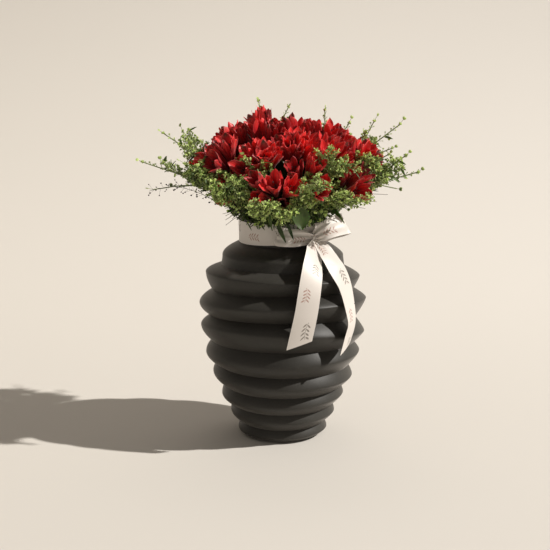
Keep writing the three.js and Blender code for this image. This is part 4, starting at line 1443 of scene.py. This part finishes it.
def add_cover_sprigs(piece, s, stem, random):
    """Sprigs that come out between the lowest flowers and hang over their petals."""
    for place in COVER_SPRIGS.get(s, []):
        start, tip = stem.at(SPRIG_START), Vector(place)
        twig = add_twig(piece, start, lerp(start, tip, 0.6) - UP * 5, tip, 8)
        # These sprigs get no painted shade: this cancels the darker tint near the underside.
        shade_cancelled = {"painted_shade": -PAINTED_SHADE_STRENGTH, "room": in_box}
        add_raceme(piece, twig, random, start=0.62, density=0.7, **shade_cancelled)
        add_side_twigs(piece, twig, 3, random, 0.65, 0.95, lengths=(13, 9), **shade_cancelled)
        add_small_leaves(piece, twig, 8, random, 0.3, 0.9, tint=0.1, longest=14)


def add_broad_leaves(piece, s, stem):
    """The round leaf and the long ones that hang over the ribbon at the front, each on its stalk."""
    for start, tip, width, tint in BROAD_LEAVES.get(s, []):
        root, way = Vector(start), Vector(tip) - Vector(start)
        joint = stem.at(SPRIG_START)
        tube_along(piece, [joint, lerp(joint, root, 0.6) + UP * 3, root], TWIG_RADIUS, 0.5, 4, "twig")
        side = way.cross(TO_FRONT)
        bent_leaf(piece, LEAF, root, way, side, way.length, width, 0, "lily_leaf", tint, fold=0.1, wave=0.5)


def add_dry_twigs(piece, s):
    for ends in DRY_TWIGS.get(s, []):
        root, tip = Vector(ends[0]), Vector(ends[1])
        tube_along(piece, [root, lerp(root, tip, 0.5) + UP * 2, tip], TWIG_RADIUS, 0.3, 4, "dark_twig")


def add_shaded_sprig(piece, random):
    """A thin sprig with tiny pods on hairlike stalks, at the left, painted dark all over as painted shade."""
    line = Line(SHADED_SPRIG)
    tube_along(piece, line.spaced(14), 0.55, 0.3, 4, "dark_twig")
    for point, out in spiral(line, SHADED_SPRIG_PODS, 0.18, 1, (40, 30), random):
        length = 4 + 7 * random()
        at_root = standing(point, out)
        piece.add(STALK, at_root @ drawn_out(0.16, length), "dark_twig")
        seed = at_root @ raised(length) @ Matrix.Scale(0.75 + 0.5 * random(), 4)
        piece.add(SEED_BUD, seed, "dark_twig")


def make_spray(s):
    node = "pennycress_" + label(s)
    corners = corners_of(node)
    tips = [Vector(tip) for tip in SPRAYS[s]]
    foot, stem = stem_line(tips[0])
    piece = Piece("pennycress_fine_" + label(s))
    random = dice(13, s)
    fuller = SIDE_TWIGS.get(s, 1)
    tube_along(piece, [foot] + stem.spaced(24), SPRAY_STEM_RADIUS, SPRAY_STEM_RADIUS * 0.6, 6, "twig")
    add_cad_pods(piece, corners, stem, STEM_PODS, [s, 0], random)
    add_raceme(piece, stem, random, start=0.6, density=0.42)
    add_side_twigs(piece, stem, round(14 * fuller), random, 0.3, 0.85, lengths=(44, 20))
    # The low side twigs and the many small leaves low on the stem are tinted dark: painted shade, as well as
    # the leaves' own dark green.
    add_side_twigs(piece, stem, round(7 * fuller), random, 0.2, 0.42, lengths=(26, 34), painted_shade=0.6)
    add_small_leaves(piece, stem, 110, random, 0.1, 0.66, tint=0.05, longest=30, lean=10)
    add_small_leaves(piece, stem, 14, random)
    add_collar(piece, stem, 6 if foot.y < 0 else 2, random)
    add_cover_sprigs(piece, s, stem, random)
    add_broad_leaves(piece, s, stem)
    add_dry_twigs(piece, s)
    if s == SHADED_SPRIG_ON:
        add_shaded_sprig(piece, random)
    for b, tip in enumerate(tips[1:], 1):
        branch = branch_line(stem, tip)
        tube_along(piece, branch.spaced(12), BRANCH_RADIUS, BRANCH_RADIUS * 0.8, 5, "twig")
        add_cad_pods(piece, corners, branch, BRANCH_PODS, [s, b], random)
        add_raceme(piece, branch, random, start=0.4, density=0.45)
        add_side_twigs(piece, branch, round(8 * fuller), random, 0.1, 0.8, lengths=(38, 20), painted_shade=0.1)
    piece.make(node)


# ---------------------------------------------------------------- putting it together


def colour_water():
    paint = Paint("vase_water", 0.05, 0.5)
    cloud = paint.noise(paint.space(), 20)
    paint.set(Base_Color=paint.mix(cloud, (0.5, 0.62, 0.58), (0.62, 0.7, 0.66)))
    paint.set(Transmission_Weight=0.9, IOR=1.33)
    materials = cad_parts["water"].data.materials
    materials.clear()
    materials.append(paint.material)


make_vase()
make_band()
make_bow()
for index in range(len(HEADS)):
    make_head(index)
crown_tree = tree_of(crowns)
for index in range(len(HEADS)):
    make_lily_stem(index)
for index in range(len(SPRAYS)):
    make_spray(index)
colour_water()

# ---------------------------------------------------------------- camera, floor and light

# The photo's camera, worked out from the vase's foot and axis: its place, its pitch in degrees downwards,
# and its focal length and picture width in pixels.
CAMERA = Vector((-10.82, -1582.07, 547.11))
CAMERA_PITCH = 11.4
FOCAL_PIXELS = 1150
PICTURE_PIXELS = 550
SENSOR = 36.0
LENS = FOCAL_PIXELS / PICTURE_PIXELS * SENSOR


def linked(name, data):
    made = bpy.data.objects.new(name, data)
    bpy.context.scene.collection.objects.link(made)
    return made


def make_camera():
    data = bpy.data.cameras.new("camera")
    data.sensor_width = SENSOR
    data.lens = LENS
    data.clip_end = 30
    camera = linked("camera", data)
    camera.location = CAMERA * MM
    camera.rotation_euler = (radians(90 - CAMERA_PITCH), 0, 0)
    bpy.context.scene.camera = camera


def make_floor():
    """A pale floor that sweeps up into a backdrop without a line between them. Its sizes are in metres."""
    wide, front, back, curve, wall = 10, -3.0, 0.6, 1.6, 3
    steps = 24
    bpy.ops.mesh.primitive_plane_add(size=wide, location=(0, 0, 0))
    sweep = bpy.context.object
    sweep.name = "floor_and_backdrop"
    for vertex in sweep.data.vertices:
        vertex.co.y = back if vertex.co.y > 0 else front
    set_mode("EDIT")
    select_points(lambda p: p.y > 0)
    turns = [pi / 2 * i / steps for i in range(steps + 1)]
    bends = [
        (0, curve * (sin(b) - sin(a)), curve * (cos(a) - cos(b)))
        for a, b in zip(turns, turns[1:])
    ]
    for step in (*bends, (0, 0, wall)):
        bpy.ops.mesh.extrude_region_move(TRANSFORM_OT_translate={"value": step})
    set_mode("OBJECT")
    bpy.ops.object.shade_smooth()
    paint = Paint("pale_paper", 0.85, 0.15)
    share = paint.apart(paint.space())[0].sum("MULTIPLY_ADD", 0.35, 0.5)
    paint.set(Base_Color=paint.ramp(share, (0.0, (0.585, 0.55, 0.495)), (1.0, (0.7, 0.67, 0.625))))
    sweep.data.materials.append(paint.material)
    sweep.select_set(False)


def lamp(kind, name, energy, colour, away, **settings):
    """Adds a lamp that shines from the side that a vector points to."""
    data = bpy.data.lights.new(name, kind)
    data.energy = energy
    data.color = colour
    for key, value in settings.items():
        setattr(data, key, value)
    made = linked(name, data)
    made.rotation_euler = (-away).to_track_quat("-Z", "Y").to_euler()
    return made


def area_light(name, place, size, energy, colour, target):
    """Adds a round lamp at a place, in metres, that shines at a target."""
    away = Vector(place) - Vector(target)
    lamp("AREA", name, energy, colour, away, shape="DISK", size=size).location = place


def make_light():
    elevation = radians(40)
    azimuth = radians(-9)
    to_sun = polar(cos(elevation), azimuth, sin(elevation))
    lamp("SUN", "sun", energy=4.5, colour=(1.0, 0.965, 0.92), away=to_sun, angle=radians(1.2))
    area_light(
        "fill",
        place=(-1.6, -3.0, 1.6),
        size=2.0,
        energy=1.6,
        colour=(1.0, 0.9, 0.8),
        target=(0, 0, 0.22),
    )
    area_light(
        "backdrop_light",
        place=(0, 1.2, 2.6),
        size=1.5,
        energy=8,
        colour=(1.0, 0.93, 0.86),
        target=(0, 2.2, 0.9),
    )
    world = bpy.data.worlds.new("soft_light")
    world.use_nodes = True
    background = world.node_tree.nodes["Background"]
    background.inputs[0].default_value = (1.0, 0.92, 0.84, 1)
    background.inputs[1].default_value = 0.235
    bpy.context.scene.world = world
    bpy.context.scene.view_settings.view_transform = "Standard"


make_camera()
make_floor()
make_light()
bpy.context.view_layer.update()
